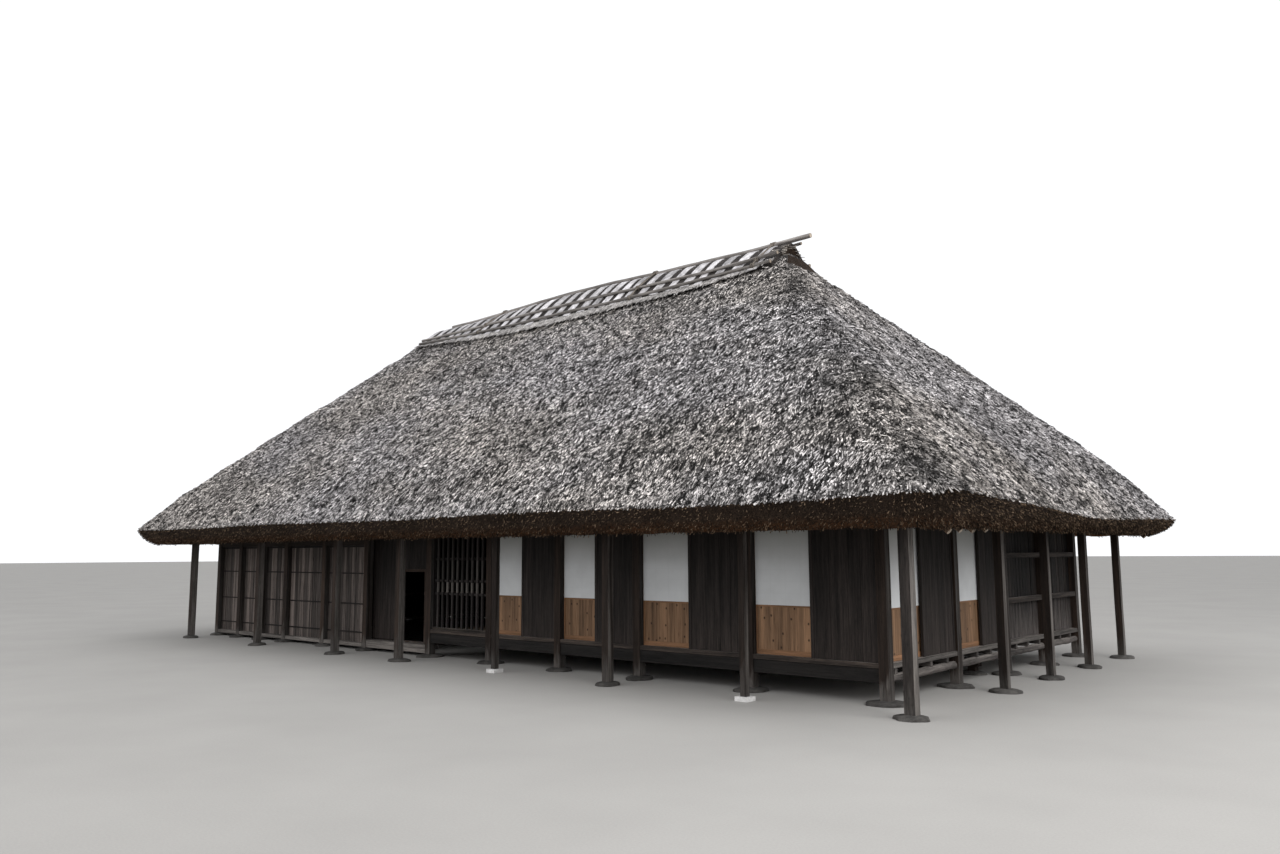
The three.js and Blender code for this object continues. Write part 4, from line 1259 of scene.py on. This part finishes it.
class FARMHOUSE_OT_rafters(bpy.types.Operator):
    """Round rafters close together, with the poles and beams that carry them"""

    bl_idname = "farmhouse.rafters"
    bl_label = "Rafters"

    def execute(self, context):
        self.long_side("front", -1, EAVE_Y, FRONT + POST / 2)
        self.long_side("back", 1, 3.9, BACK - POST / 2)
        self.end("right", 1, RUN_RIGHT, GABLE_RIGHT, EAVE_X, RIGHT - POST / 2)
        self.end("left", -1, RUN_LEFT, GABLE_LEFT, -8.25, LEFT + POST / 2)
        inside = ["cross_frame_%d" % n for n in (1, 2, 3, 4)]
        for node in inside + ["end_beam_right", "end_beam_left", "ridge_beam"]:
            frame["nodes"][node].data.materials[0] = finish("inside_wood")
        return {"FINISHED"}

    def done(self, name, parts):
        riding(smooth(joined("roof_poles_" + name, parts), 45), "house", "pole_wood", "rafters_" + name)

    def long_side(self, name, sign, eave, wall):
        def top_at(x):
            if x > GABLE_RIGHT:
                return sign * (GABLE_HALF + (x - GABLE_RIGHT) * (RUN_Y / RUN_RIGHT) + 0.05)
            if x < GABLE_LEFT:
                return sign * (GABLE_HALF + (GABLE_LEFT - x) * (RUN_Y / RUN_LEFT) + 0.05)
            return sign * 0.05

        parts = rafters(
            -8.52, 8.6, lambda x: sign * (ROOF_Y - UNDER_IN - rng.uniform(0.10, 0.16)), top_at,
            lambda x, y, radius: (x, y, rafter_height(y, radius)),
        )
        for side in (-1, 1):
            ends = [(hip_x(side, y), y, rafter_height(y) - 0.008) for y in (sign * 4.13, sign * 0.56)]
            parts.append(pole(*ends, 0.038, "rafter_wood", "cut_end_wood"))
        for y in (sign * 1.9, sign * 0.7):
            ends = [(hip_x(side, y), y, rafter_height(y) - POLE_DROP) for side in (-1, 1)]
            parts.append(pole(*ends, 0.045, "rafter_wood", "cut_end_wood"))
        eave_low, wall_low = rafter_height(eave) - BEAM_DROP, PLATE_TOP + 0.2003
        for y, half, low, top in ((eave, 0.045, eave_low, 0.02), (wall, 0.06, wall_low, 0.03)):
            sides = ((hip_x(-1, y), hip_x(1, y)), (y - half, y + half), (low, rafter_height(y) - top))
            parts.append(squared(*sides, "x", "beam_wood"))
        self.done(name, parts)

    def end(self, name, sign, run, gable, eave, wall):
        def height(x, radius=0.042):
            return pole_height(ROOF_X - abs(x), run, radius)

        def low_at(y):
            shows = sign > 0 and (y < -2.4 or y > 3.4)
            past = rng.uniform(0.02, 0.06) if shows else rng.uniform(0.10, 0.16)
            return sign * (ROOF_X - UNDER_SHARE * run - past)

        def half_at(x):
            return GABLE_HALF + abs(x - gable) * (RUN_Y / run) - 0.19

        parts = rafters(
            -4.05, 4.1, low_at, lambda y: gable + sign * (max(0, abs(y) - GABLE_HALF) * (run / RUN_Y) + 0.2),
            lambda y, x, radius: (x, y, height(x, radius)),
        )
        for x in (gable + sign * 0.7, gable + sign * 1.8):
            ends = [(x, side * half_at(x), height(x) - POLE_DROP) for side in (-1, 1)]
            parts.append(pole(*ends, 0.045, "rafter_wood", "cut_end_wood"))
        eave_low, wall_low = height(eave) - BEAM_DROP, PLATE_TOP + 0.1103
        for x, half, low, top in ((wall, 0.06, wall_low, 0.03), (eave, 0.045, eave_low, 0.02)):
            reach = (-half_at(x), half_at(x))
            parts.append(squared((x - half, x + half), reach, (low, height(x) - top), "y", "beam_wood"))
        self.done(name, parts)


# Wall frames: (reach along the wall, depth, height, finish, tone, grain) of each timber
DOOR_HEAD = (LINTEL_TOP + 0.005, LINTEL_TOP + 0.065)
FLOOR_BEAM, RAISED_SILL, LEAF_HEAD = (0.235, 0.385), (FLOOR_SILL, SILL_TOP), (HEAD, PLATE + TENON)
RAISED, ON_GROUND, SIDE = (ENTRANCE_RIGHT, FIRST_POST), (LAST_POST, ENTRANCE_RIGHT), (SIDE_LOW, SIDE_HIGH)
ENTRANCE, BOARDED_SIDE = (ENTRANCE_LEFT, ENTRANCE_RIGHT), (SIDE_POSTS[1], SIDE_HIGH)
BATTEN = (SIDE_POSTS[1] + 0.061, SIDE_POSTS[1] + 0.083)
# Ends of the great door's track
DOOR_END, DOOR_START = -4.25, ENTRANCE_RIGHT - POST / 2
FRAME_TIMBERS = {
    "front": [
        ((LEFT, RIGHT), PLATE_DEPTH, (PLATE, PLATE_TOP), "beam_wood"),
        (RAISED, BEAM_DEPTH, FLOOR_BEAM, "floor_beam_wood", 0.6),
        (RAISED, SILL_DEPTH, RAISED_SILL, "sill_wood", 0.7),
        (RAISED, HEAD_DEPTH, LEAF_HEAD, "beam_wood"),
        (ON_GROUND, GROUND_DEPTH, (GROUND_SILL, GROUND_SILL_TOP), "foot_sill_wood", 0.5),
        ((LAST_POST, ENTRANCE_LEFT), RAIL_DEPTH, (LINTEL, LINTEL_TOP), "beam_wood"),
        (ENTRANCE, GROUND_DEPTH, (LINTEL_TOP + 0.005, LINTEL_TOP + 0.12), "beam_wood"),
        (ENTRANCE, (0.008, 0.222), (GROUND_SILL_TOP - TENON, THRESHOLD_TOP), "foot_sill_wood", 0.6),
        ((DOOR_END, DOOR_START), TRACK_DEPTH, (GROUND_SILL_TOP, THRESHOLD_TOP), "sill_wood"),
        ((DOOR_END, DOOR_START + POST), TRACK_DEPTH, DOOR_HEAD, "beam_wood"),
        *(((x - 0.05, x + 0.05), (0.115, 0.16), DOOR_HEAD, "beam_wood") for x in FRONT_POSTS[5:8]),
    ],
    "right": [
        (SIDE, PLATE_DEPTH, (PLATE, PLATE_TOP), "beam_wood"),
        (SIDE, SILL_DEPTH, RAISED_SILL, "side_sill_wood", 0.8),
        (BATTEN, (0.008, 0.04), (SILL_TOP + 0.001, 1.57), "eave_post_wood", 0.8, "z"),
        ((SIDE_LOW, SIDE_POSTS[1]), HEAD_DEPTH, LEAF_HEAD, "beam_wood"),
        (BOARDED_SIDE, RAIL_DEPTH, (0.95, 1.02), "sill_wood", 0.3),
        (BOARDED_SIDE, RAIL_DEPTH, (1.57, 1.64), "sill_wood", 0.1),
    ],
    "left": [
        (SIDE, PLATE_DEPTH, (PLATE, PLATE_TOP), "beam_wood"),
        (SIDE, GROUND_DEPTH, (GROUND_SILL, GROUND_SILL_TOP), "foot_sill_wood"),
        (SIDE, RAIL_DEPTH, (LINTEL, LINTEL_TOP), "beam_wood"),
    ],
    "back": [
        ((LEFT, RIGHT), PLATE_DEPTH, (PLATE, PLATE_TOP), "beam_wood"),
        (RAISED, BEAM_DEPTH, FLOOR_BEAM, "sill_wood"),
        (RAISED, SILL_DEPTH, RAISED_SILL, "sill_wood"),
        (ON_GROUND, GROUND_DEPTH, (GROUND_SILL, GROUND_SILL_TOP), "foot_sill_wood"),
        ((LAST_POST, FIRST_POST), RAIL_DEPTH, (LINTEL, LINTEL_TOP), "beam_wood"),
    ],
}


class FARMHOUSE_OT_frames(bpy.types.Operator):
    """Posts on their stones, plates, beams, sills and door heads"""

    bl_idname = "farmhouse.frames"
    bl_label = "Timber frame"

    def execute(self, context):
        self.eaves()
        self.wall("front", FRONT_POSTS, 0.8, 0.3)
        self.wall("right", SIDE_POSTS, 1.3, 0.2)
        self.log_beam()
        self.wall("left", SIDE_POSTS, 1.7, 0.1)
        self.wall("back", BACK_POSTS, 0.6, 0.7)
        self.sill_stones()
        return {"FINISHED"}

    def done(self, name, parts, node):
        """Timbers stray sideways only, because the leaves slide between them."""
        piece = weathered(joined(name, parts), settings("timber").sway, level=True)
        riding(piece, "house", "post_wood", node)

    def eaves(self):
        """Eave posts and their beams: a square corner post, and two thin posts on white blocks."""
        half, top = 0.055, EAVE_BEAM + TENON
        parts = []
        for i, x in enumerate(FRONT_EAVE):
            side, size, look = 0.106, 0.19, "eave_post_wood"
            if i == 0:
                side, look = 0.118, "corner_post_wood"
            elif i in (1, 3):
                side, size = 0.078, 0.085
            parts += standing(x, EAVE_Y, side, top, size, i * 0.9, look)
        height = (EAVE_BEAM, rafter_height(EAVE_Y) - BEAM_DROP)
        ys = (EAVE_Y - half, EAVE_Y + half)
        parts.append(squared((-8.35, EAVE_X + 0.061), ys, height, "x", "beam_wood"))
        self.done("eave_posts_front", parts, "eave_frame_front")
        parts = []
        for i, y in enumerate(SIDE_EAVE):
            parts += standing(EAVE_X, y, 0.098, top, 0.195, i * 1.1 + 0.4, "eave_post_wood")
        height = (EAVE_BEAM, pole_height(ROOF_X - EAVE_X, RUN_RIGHT) - BEAM_DROP)
        xs = (EAVE_X - half, EAVE_X + half)
        parts.append(squared(xs, (EAVE_Y + 0.0613, 3.85), height, "y", "beam_wood"))
        self.done("eave_posts_right", parts, "eave_frame_right")

    def wall(self, wall, posts, turn, first_turn):
        parts = []
        for i, u in enumerate(posts):
            size = 0.26 if wall == "front" and i == 0 else 0.225
            x, y = point(wall, u, POST / 2)
            parts += standing(x, y, POST, PLATE + TENON, size, i * turn + first_turn, "post_wood")
        parts += [bar(wall, *timber) for timber in FRAME_TIMBERS[wall]]
        self.done("wall_frame_" + wall, parts, wall + "_wall_frame")

    def log_beam(self):
        """The rough log under the right wall."""
        x, z = RIGHT - 0.063, 0.2775
        log = pole((x, SIDE_LOW, z), (x, SIDE_HIGH, z), 0.047, "log_wood", kind="fine_round")
        halved(log, 0.09, 7)
        for v, (c, n) in spots(log):
            v.co.z += 0.012 * bump_at(0, c.y * 1.5, 4)
            v.co += n * (0.010 * bump_at(c.x * 9, c.y * 4, c.z * 9) + 0.005 * noise.noise(c * 16))
        log.name = log.data.name = "log_beam_right"
        riding(smooth(log, 50), "house", "post_wood")

    def sill_stones(self):
        """Low stones in a row under the ground sills."""
        rows = [("left", a, b) for a, b in strips(*SIDE, 0.42, 0.35)]
        rows += [("back", a, b) for a, b in strips(*ON_GROUND, 0.42, 0.35)]
        parts = []
        for wall, a, b in rows:
            half = (b - a) / 2 * 1.06
            sizes = (half, 0.08) if wall == "back" else (0.08, half)
            parts.append(stone(*point(wall, (a + b) / 2, POST / 2), *sizes, GROUND_SILL + 0.004, 1))
        riding(joined("sill_stones", parts), "house", "post_wood")


# Walls, window and floor


def strips(low, high, wide, spread):
    """Edges of boards of uneven width that fill a bay."""
    edges = [low]
    while edges[-1] + wide * 1.4 < high:
        edges.append(edges[-1] + wide * rng.uniform(1 - spread, 1 + spread))
    edges.append(high)
    return list(zip(edges, edges[1:]))


def bays(posts):
    row = sorted(posts)
    return [(a + BESIDE_POST, b - BESIDE_POST) for a, b in zip(row, row[1:])]


# (height of the foot, own height) of the thin rails on the board walls
THIN_RAILS = [(0.285, 0.022), (0.783, 0.022), (1.322, 0.022), (1.80, 0.035)]


def board_bay(wall, low, high, foot, look, rails, depth=0.086, wide=0.16, seam=0.005):
    """Upright boards in a bay with thin rails before them, and battens and a lining that keeps light out."""
    foot += 0.001
    reach = (low, high)
    parts = []
    for a, b in strips(low, high, wide, 0.3):
        near = depth + rng.uniform(0, 0.007)
        edges = (a + seam / 2, b - seam / 2)
        parts.append(bar(wall, edges, (near, near + 0.02), (foot, PLATE), look, grain="z"))
    for z, height in rails:
        parts.append(bar(wall, reach, (depth - 0.012, depth + 0.002), (z, z + height), "thin_rail_wood"))
    for z in (0.64, 1.5, 2.24):
        parts.append(bar(wall, reach, (depth + 0.02, 0.15), (z, z + 0.07), look))
    parts.append(bar(wall, reach, (depth + 0.015, depth + 0.03), (foot, PLATE), "thin_rail_wood", grain="z"))
    return parts


class FARMHOUSE_OT_board_walls(bpy.types.Operator):
    """Board walls: upright boards of uneven width, with thin rails"""

    bl_idname = "farmhouse.board_walls"
    bl_label = "Board walls"

    def execute(self, context):
        grey, side, last_post = "grey_board_wood", "side_board_wood", BACK - POST / 2
        for wall, posts, look, rails, sizes in (
            ("front", FRONT_POSTS[6:], grey, THIN_RAILS, {"wide": 0.13}),
            ("back", BACK_POSTS, grey, THIN_RAILS, {}),
            ("right", [*SIDE_POSTS[1:], last_post], side, [], {"depth": 0.09, "wide": 0.11, "seam": 0.009}),
            ("left", [FRONT + POST / 2, *SIDE_POSTS, last_post], grey, THIN_RAILS, {}),
        ):
            parts = []
            for low, high in bays(posts):
                raised = wall == "right" or wall == "back" and low > ENTRANCE_RIGHT
                foot = SILL_TOP if raised else GROUND_SILL_TOP
                over = [rail for rail in rails if rail[0] > foot]
                parts += board_bay(wall, low, high, foot, look, over, **sizes)
            self.done("boards_" + wall, parts, wall + "_board_wall")
        parts = []
        for a, b in strips(LINTEL_TOP + 0.1205, PLATE - 0.0005, 0.08, 0.1):
            reach = (ENTRANCE_LEFT + BESIDE_POST, ENTRANCE_RIGHT - BESIDE_POST)
            parts.append(bar("front", reach, (0.045, 0.09), (a, b - 0.002), side))
        self.done("boards_over_entrance", parts, "entrance_boards")
        return {"FINISHED"}

    def done(self, name, parts, node):
        riding(weathered(joined(name, parts), 0.003, edge=0.002, bay=0.9), "house", "board_wood", node)


class FARMHOUSE_OT_lattice(bpy.types.Operator):
    """The lattice window: upright bars before three cross rails"""

    bl_idname = "farmhouse.lattice"
    bl_label = "Lattice window"

    def execute(self, context):
        x0, x1 = ENTRANCE_RIGHT + POST / 2 + CLEAR, WINDOW_POST - POST / 2 - CLEAR
        z0, z1 = SILL_TOP + CLEAR, HEAD - CLEAR
        depth = (0.03, 0.1)
        parts = [
            bar("front", (x0, x1), depth, (z0, z0 + 0.04), "sill_wood"),
            bar("front", (x0, x1), depth, (z1 - 0.05, z1), "lattice_wood"),
            bar("front", (x0, x0 + 0.035), depth, (z0, z1), "lattice_wood", grain="z"),
            bar("front", (x1 - 0.035, x1), depth, (z0, z1), "lattice_wood", grain="z"),
        ]
        for i in range(1, 11):
            x = x0 + 0.017 + i * (x1 - x0 - 0.034) / 11
            # The second and third rows put short pale pieces on the bars: painted light from a window
            # behind, brighter between the two lower rails and dimmer above them
            for half, deep, height, look in (
                (0.019, (0.034, 0.068), (z0 + 0.02, z1 - 0.02), "lattice_wood"),
                (0.0195, (0.0335, 0.06), (1.05, 1.215), "worn_bar_wood"),
                (0.0195, (0.0335, 0.06), (1.255, 1.565), "rubbed_bar_wood"),
            ):
                parts.append(bar("front", (x - half, x + half), deep, height, look, grain="z"))
        reach = (x0 + 0.01, x1 - 0.01)
        for z in (1.01, 1.22, 1.57):
            parts.append(bar("front", reach, (0.062, 0.084), (z, z + 0.034), "lattice_wood"))
        window = weathered(joined("window_bars", parts), 0.003, edge=0.003)
        riding(window, "house", "post_wood", "lattice_window")
        return {"FINISHED"}


class FARMHOUSE_OT_floor(bpy.types.Operator):
    """The raised floor: boards on joists, over beams on short posts"""

    bl_idname = "farmhouse.floor"
    bl_label = "Raised floor"

    def execute(self, context):
        left = ENTRANCE_RIGHT + POST / 2
        boards, joists, bearers = (left, RIGHT - 0.126), (left, RIGHT - 0.03), (-0.42, RIGHT - 0.13)
        beam = (ENTRANCE_RIGHT - POST / 2, 7.4)
        parts = []
        for a, b in strips(FRONT + 0.16, BACK - 0.156, 0.24, 0.12):
            parts.append(squared(boards, (a, b - 0.003), (0.412, 0.44), "x", "floor_wood"))
        y = -2.95
        while y <= 3.15:
            parts.append(squared(joists, (y - 0.03, y + 0.03), (0.3203, 0.3907), "x", "log_wood"))
            y += 0.455
        for y in (-2.9, 0.1, 3.1):
            parts.append(squared(bearers, (y - 0.04, y + 0.04), (0.386, 0.412), "x", "log_wood"))
        floor = weathered(joined("floor_boards", parts), 0.0, edge=0.003, bay=3)
        riding(floor, "house", "grey_wood", "floor")
        parts = []
        for x in FRONT_POSTS[1:6]:
            parts.append(squared((x - 0.06, x + 0.06), SIDE, (0.19, 0.32), "y", "beam_wood"))
        parts.append(squared(beam, (0.04, 0.16), (0.11, 0.195), "x", "beam_wood"))
        for i, x in enumerate((7.3, 4.965, 1.783, -0.3)):
            parts += standing(x, 0.1, 0.11, 0.115, 0.19, i * 1.9, "beam_wood")
        riding(weathered(joined("floor_beams_rough", parts), 0.0), "house", "post_wood", "floor_beams")
        return {"FINISHED"}


# Sliding leaves: each leaf covers half of its bay and laps over the other leaf
LEAF = (SILL_TOP + OVER_SILL, HEAD - 0.006)
BESIDE_LEAF, LAP = POST / 2 + 0.006, 0.034
LEAF_BAYS = {"front_%d" % (i + 1): ("front", FRONT_POSTS[i + 1], FRONT_POSTS[i]) for i in range(4)}
LEAF_BAYS["side_1"] = ("right", FRONT + POST / 2, SIDE_POSTS[0])
LEAF_BAYS["side_2"] = ("right", SIDE_POSTS[0], SIDE_POSTS[1])
SCREEN_DEPTH, DOOR_DEPTH = 0.078, 0.026
# Panes of the lattice behind the paper, across and up
PANES = (4, 8)


def behind(wall, face):
    """A maker of the bars of a leaf, by their depth behind the leaf's own face."""

    def leaf_bar(reach, depth, *more, **named):
        return bar(wall, reach, [face + d for d in depth], *more, **named)

    return leaf_bar


class FARMHOUSE_OT_screens(bpy.types.Operator):
    """Sliding paper screens with a lower board"""

    bl_idname = "farmhouse.screens"
    bl_label = "Paper screens"

    def execute(self, context):
        stile, split = settings("screen").frame, settings("screen").split
        rail, low, top = "honey_rail_wood", LEAF[0], LEAF[1] - 0.04
        thick, stiles, lath = (0.001, 0.029), (0, 0.03), 0.004
        for name, (wall, start, end) in LEAF_BAYS.items():
            u0 = start + BESIDE_LEAF
            u1 = u0 + (end - BESIDE_LEAF - u0) / 2 + LAP
            inner = (u0 + stile, u1 - stile)
            piece = behind(wall, SCREEN_DEPTH)
            parts = [
                piece((u0, u0 + stile), stiles, LEAF, rail, grain="z"),
                piece((u1 - stile, u1), stiles, LEAF, rail, grain="z"),
                piece(inner, thick, (top, LEAF[1]), rail),
                piece(inner, thick, (split - 0.026, split), rail, 0.1),
                piece(inner, thick, (low, low + 0.062), rail, 0.8),
                piece(inner, (0.007, 0.019), (low + 0.06, split - 0.024), "honey_wood", grain="z"),
            ]
            for i in range(1, PANES[0]):
                u = u0 + stile + (u1 - u0 - 2 * stile) * i / PANES[0]
                parts.append(piece((u - lath, u + lath), (0.0095, 0.026), (split, top), rail, grain="z"))
            for i in range(1, PANES[1]):
                z = split + (top - split) * i / PANES[1]
                parts.append(piece(inner, (0.0095, 0.022), (z - lath, z + lath), rail))
            timbers = weathered(joined("screen_frame_" + name, parts), 0.0, edge=0.0015, bay=9)
            sheet = self.paper(wall, u0 + stile * 0.25, u1 - stile * 0.25, split - 0.004, LEAF[1] - 0.03)
            screen = joined("paper_screen_" + name, [timbers, sheet])
            riding(screen, "screen_" + name, "screen", "screen_" + name)
        return {"FINISHED"}

    def paper(self, wall, u0, u1, z0, z1):
        """The sheet of paper, which sinks a little between the laths."""
        along, _, inward = WALLS[wall]
        nothing_selected()
        turn = (math.pi / 2, 0, 0 if along == "x" else math.pi / 2)
        bpy.ops.mesh.primitive_grid_add(x_subdivisions=24, y_subdivisions=48, size=1, rotation=turn)
        sheet = bpy.context.object
        sheet.data.uv_layers[0].name = "sheet"
        sheet.location = (*point(wall, (u0 + u1) / 2, SCREEN_DEPTH - 0.0005), (z0 + z1) / 2)
        sheet.scale = (u1 - u0, z1 - z0, 1)
        settle(sheet)
        inwards = AXES["y" if along == "x" else "x"] * inward
        for v in sheet.data.vertices:
            u = v.co.x if along == "x" else v.co.y
            across = abs(math.sin(math.pi * PANES[0] * (u - u0) / (u1 - u0)))
            upwards = abs(math.sin(math.pi * PANES[1] * (v.co.z - z0) / (z1 - z0)))
            v.co += inwards * 0.0012 * across * upwards
        work(sheet, "SOLIDIFY", thickness=0.0006, offset=0)
        sheet.data.materials.append(finish("paper"))
        return sheet


class FARMHOUSE_OT_board_doors(bpy.types.Operator):
    """Sliding board doors that close over the paper screens"""

    bl_idname = "farmhouse.board_doors"
    bl_label = "Board doors"

    def execute(self, context):
        look, stile, thick = "door_wood", 0.045, (0, 0.036)
        for name, (wall, start, end) in LEAF_BAYS.items():
            u1 = end - BESIDE_LEAF
            u0 = u1 - (u1 - start - BESIDE_LEAF) / 2 - LAP
            piece = behind(wall, DOOR_DEPTH)
            parts = [
                piece((u0, u0 + stile), thick, LEAF, look, 0.95, "z"),
                piece((u1 - stile, u1), thick, LEAF, look, 0.6, "z"),
            ]
            for a, b in strips(u0 + stile, u1 - stile, 0.2, 0.25):
                near = 0.004 + rng.uniform(0, 0.002)
                height = (LEAF[0] + 0.002, LEAF[1] - 0.002)
                parts.append(piece((a + 0.0008, b - 0.0008), (near, 0.022), height, look, grain="z"))
            for z in (LEAF[0], 0.9, 1.5, LEAF[1] - 0.05):
                parts.append(piece((u0 + stile, u1 - stile), (0.02, 0.036), (z, z + 0.05), look))
            door = weathered(joined("door_of_boards_" + name, parts), 0.0, edge=0.002, bay=1.0)
            riding(door, "board_door_" + name, "board_wood", "board_door_" + name)
        return {"FINISHED"}


class FARMHOUSE_OT_great_door(bpy.types.Operator):
    """The great door of the entrance with its low wicket"""

    bl_idname = "farmhouse.great_door"
    bl_label = "Great door"

    def execute(self, context):
        x0, x1 = ENTRANCE_LEFT - 0.01, ENTRANCE_RIGHT - BESIDE_LEAF
        z0, z1 = THRESHOLD_TOP + OVER_SILL, LINTEL_TOP - 0.001
        # The wicket's sides and heights
        left, right, low, high = -1.405, -0.815, 0.212, 1.37
        stile, jamb, rail = 0.06, 0.045, 0.05
        inner0, inner1, jamb0, jamb1 = x0 + stile, x1 - stile, left - jamb, right + jamb
        boards, thick, battens = (0.008, 0.03), (0, 0.05), (0.03, 0.05)
        piece = behind("front", 0.166)

        def upright(edges, foot):
            height = (foot, z1 - 0.02)
            return [piece((a + 0.001, b - 0.001), boards, height, "door_wood", grain="z") for a, b in edges]

        parts = upright(strips(inner0, jamb0, 0.17, 0.2) + strips(jamb1, inner1, 0.17, 0.1), z0 + 0.02)
        parts += upright(strips(jamb0, jamb1, 0.17, 0.2), high + jamb)
        for reach in ((x0, inner0), (inner1, x1)):
            parts.append(piece(reach, thick, (z0, z1), "door_wood", 0.8, "z"))
        for reach in ((jamb0, left), (right, jamb1)):
            parts.append(piece(reach, thick, (z0, high + jamb), "post_wood", 0.9, "z"))
        for height in ((high, high + jamb), (z0, low)):
            parts.append(piece((left, right), thick, height, "post_wood", 0.9))
        for z in (z0, z1 - rail, 0.75, 1.42):
            for reach in ((inner0, jamb0), (jamb1, inner1)):
                parts.append(piece(reach, battens, (z, z + rail), "door_wood"))
        parts.append(piece((jamb0, jamb1), battens, (z1 - rail, z1), "door_wood"))
        door = weathered(joined("entrance_door", parts), 0.0, edge=0.003, bay=0.9)
        riding(door, "great_door", "board_wood", "great_door")
        return {"FINISHED"}


# Stage


class FARMHOUSE_OT_stage(bpy.types.Operator):
    """The floor, the soft light and the camera of the picture"""

    bl_idname = "farmhouse.stage"
    bl_label = "Stage"

    def execute(self, context):
        stage = settings("stage")
        self.floor(stage)
        self.light(context, stage)
        self.camera(context)
        return {"FINISHED"}

    def floor(self, stage):
        nothing_selected()
        bpy.ops.mesh.primitive_circle_add(vertices=96, radius=260, fill_type="NGON")
        floor = bpy.context.object
        floor.name = floor.data.name = "floor_plain"
        g = Look("floor_plain", 0.95)
        mixed = g.blend(g.noise(g.here(), 0.6, 4), g.noise(g.here(), 60, 3), 0.5)
        dark, light = rgba(stage.floor, 0.94), rgba(stage.floor, 1.06)
        g.join(g.mix(g.ramp(mixed, 0.35, 0.65), dark, light), "Base Color")
        floor.data.materials.append(g.material)

    def light(self, context, stage):
        """An even sky, and two wide lamps that point at the house."""
        world = bpy.data.worlds.new("soft_sky")
        world.use_nodes = True
        background = world.node_tree.nodes["Background"].inputs
        background[0].default_value = (0.97, 0.98, 1.0, 1)
        background[1].default_value = stage.sky
        context.scene.world = world
        for name, place, size, power in (
            ("side_light", (22, -6, 13), 14, stage.side),
            ("front_light", (-3, -24, 15), 16, stage.side * 0.35),
        ):
            bpy.ops.object.light_add(type="AREA", location=place)
            lamp = bpy.context.object
            lamp.name = name
            lamp.data.energy = power
            lamp.data.size = size
            lamp.rotation_euler = (Vector((2, 0, 1)) - Vector(place)).to_track_quat("-Z", "Y").to_euler()

    def camera(self, context):
        """The camera as it was fitted to the photo."""
        yaw, pitch, roll = (math.radians(a) for a in (40.958, 7.279, -0.343))
        ahead = Vector((-math.sin(yaw) * math.cos(pitch), math.cos(yaw) * math.cos(pitch), math.sin(pitch)))
        right = Vector((math.cos(yaw), math.sin(yaw), 0))
        right = right * math.cos(roll) + right.cross(ahead) * math.sin(roll)
        turn = Matrix((right, right.cross(ahead), -ahead)).transposed()
        bpy.ops.object.camera_add(location=(12.8718, -13.2325, 1.6792), rotation=turn.to_euler())
        camera = bpy.context.object
        camera.name = "camera"
        camera.data.lens = 27.576
        camera.data.sensor_width = 36
        camera.data.clip_end = 600
        context.scene.camera = camera
        context.scene.view_settings.view_transform = "Standard"


class FARMHOUSE_PT_panel(bpy.types.Panel):
    """Sizes, colours and pieces of the farmhouse"""

    bl_idname = "FARMHOUSE_PT_panel"
    bl_label = "Farmhouse"
    bl_space_type = "VIEW_3D"
    bl_region_type = "UI"
    bl_category = "Farmhouse"

    def draw(self, context):
        for name in SETTINGS:
            box = self.layout.box()
            box.label(text=name.title())
            for key in settings(name).bl_rna.properties.keys():
                if key not in ("rna_type", "name"):
                    box.prop(settings(name), key)
        for operator in OPERATORS:
            self.layout.operator(operator.bl_idname)


SETTINGS = {
    "thatch": ThatchSettings,
    "timber": TimberSettings,
    "screen": ScreenSettings,
    "stage": StageSettings,
}
OPERATORS = [
    FARMHOUSE_OT_stage,
    FARMHOUSE_OT_thatch,
    FARMHOUSE_OT_ridge,
    FARMHOUSE_OT_rafters,
    FARMHOUSE_OT_frames,
    FARMHOUSE_OT_board_walls,
    FARMHOUSE_OT_lattice,
    FARMHOUSE_OT_floor,
    FARMHOUSE_OT_screens,
    FARMHOUSE_OT_board_doors,
    FARMHOUSE_OT_great_door,
]


def register():
    for name, kind in SETTINGS.items():
        bpy.utils.register_class(kind)
        setattr(bpy.types.Scene, "farmhouse_" + name, bpy.props.PointerProperty(type=kind))
    for kind in (*OPERATORS, FARMHOUSE_PT_panel):
        bpy.utils.register_class(kind)


def unregister():
    for kind in (FARMHOUSE_PT_panel, *reversed(OPERATORS)):
        bpy.utils.unregister_class(kind)
    for name, kind in SETTINGS.items():
        delattr(bpy.types.Scene, "farmhouse_" + name)
        bpy.utils.unregister_class(kind)


def main():
    register()
    for operator in OPERATORS:
        area, name = operator.bl_idname.split(".")
        getattr(getattr(bpy.ops, area), name)()
    delete(*BLANKS.values())
    BLANKS.clear()


if __name__ == "__main__":
    main()
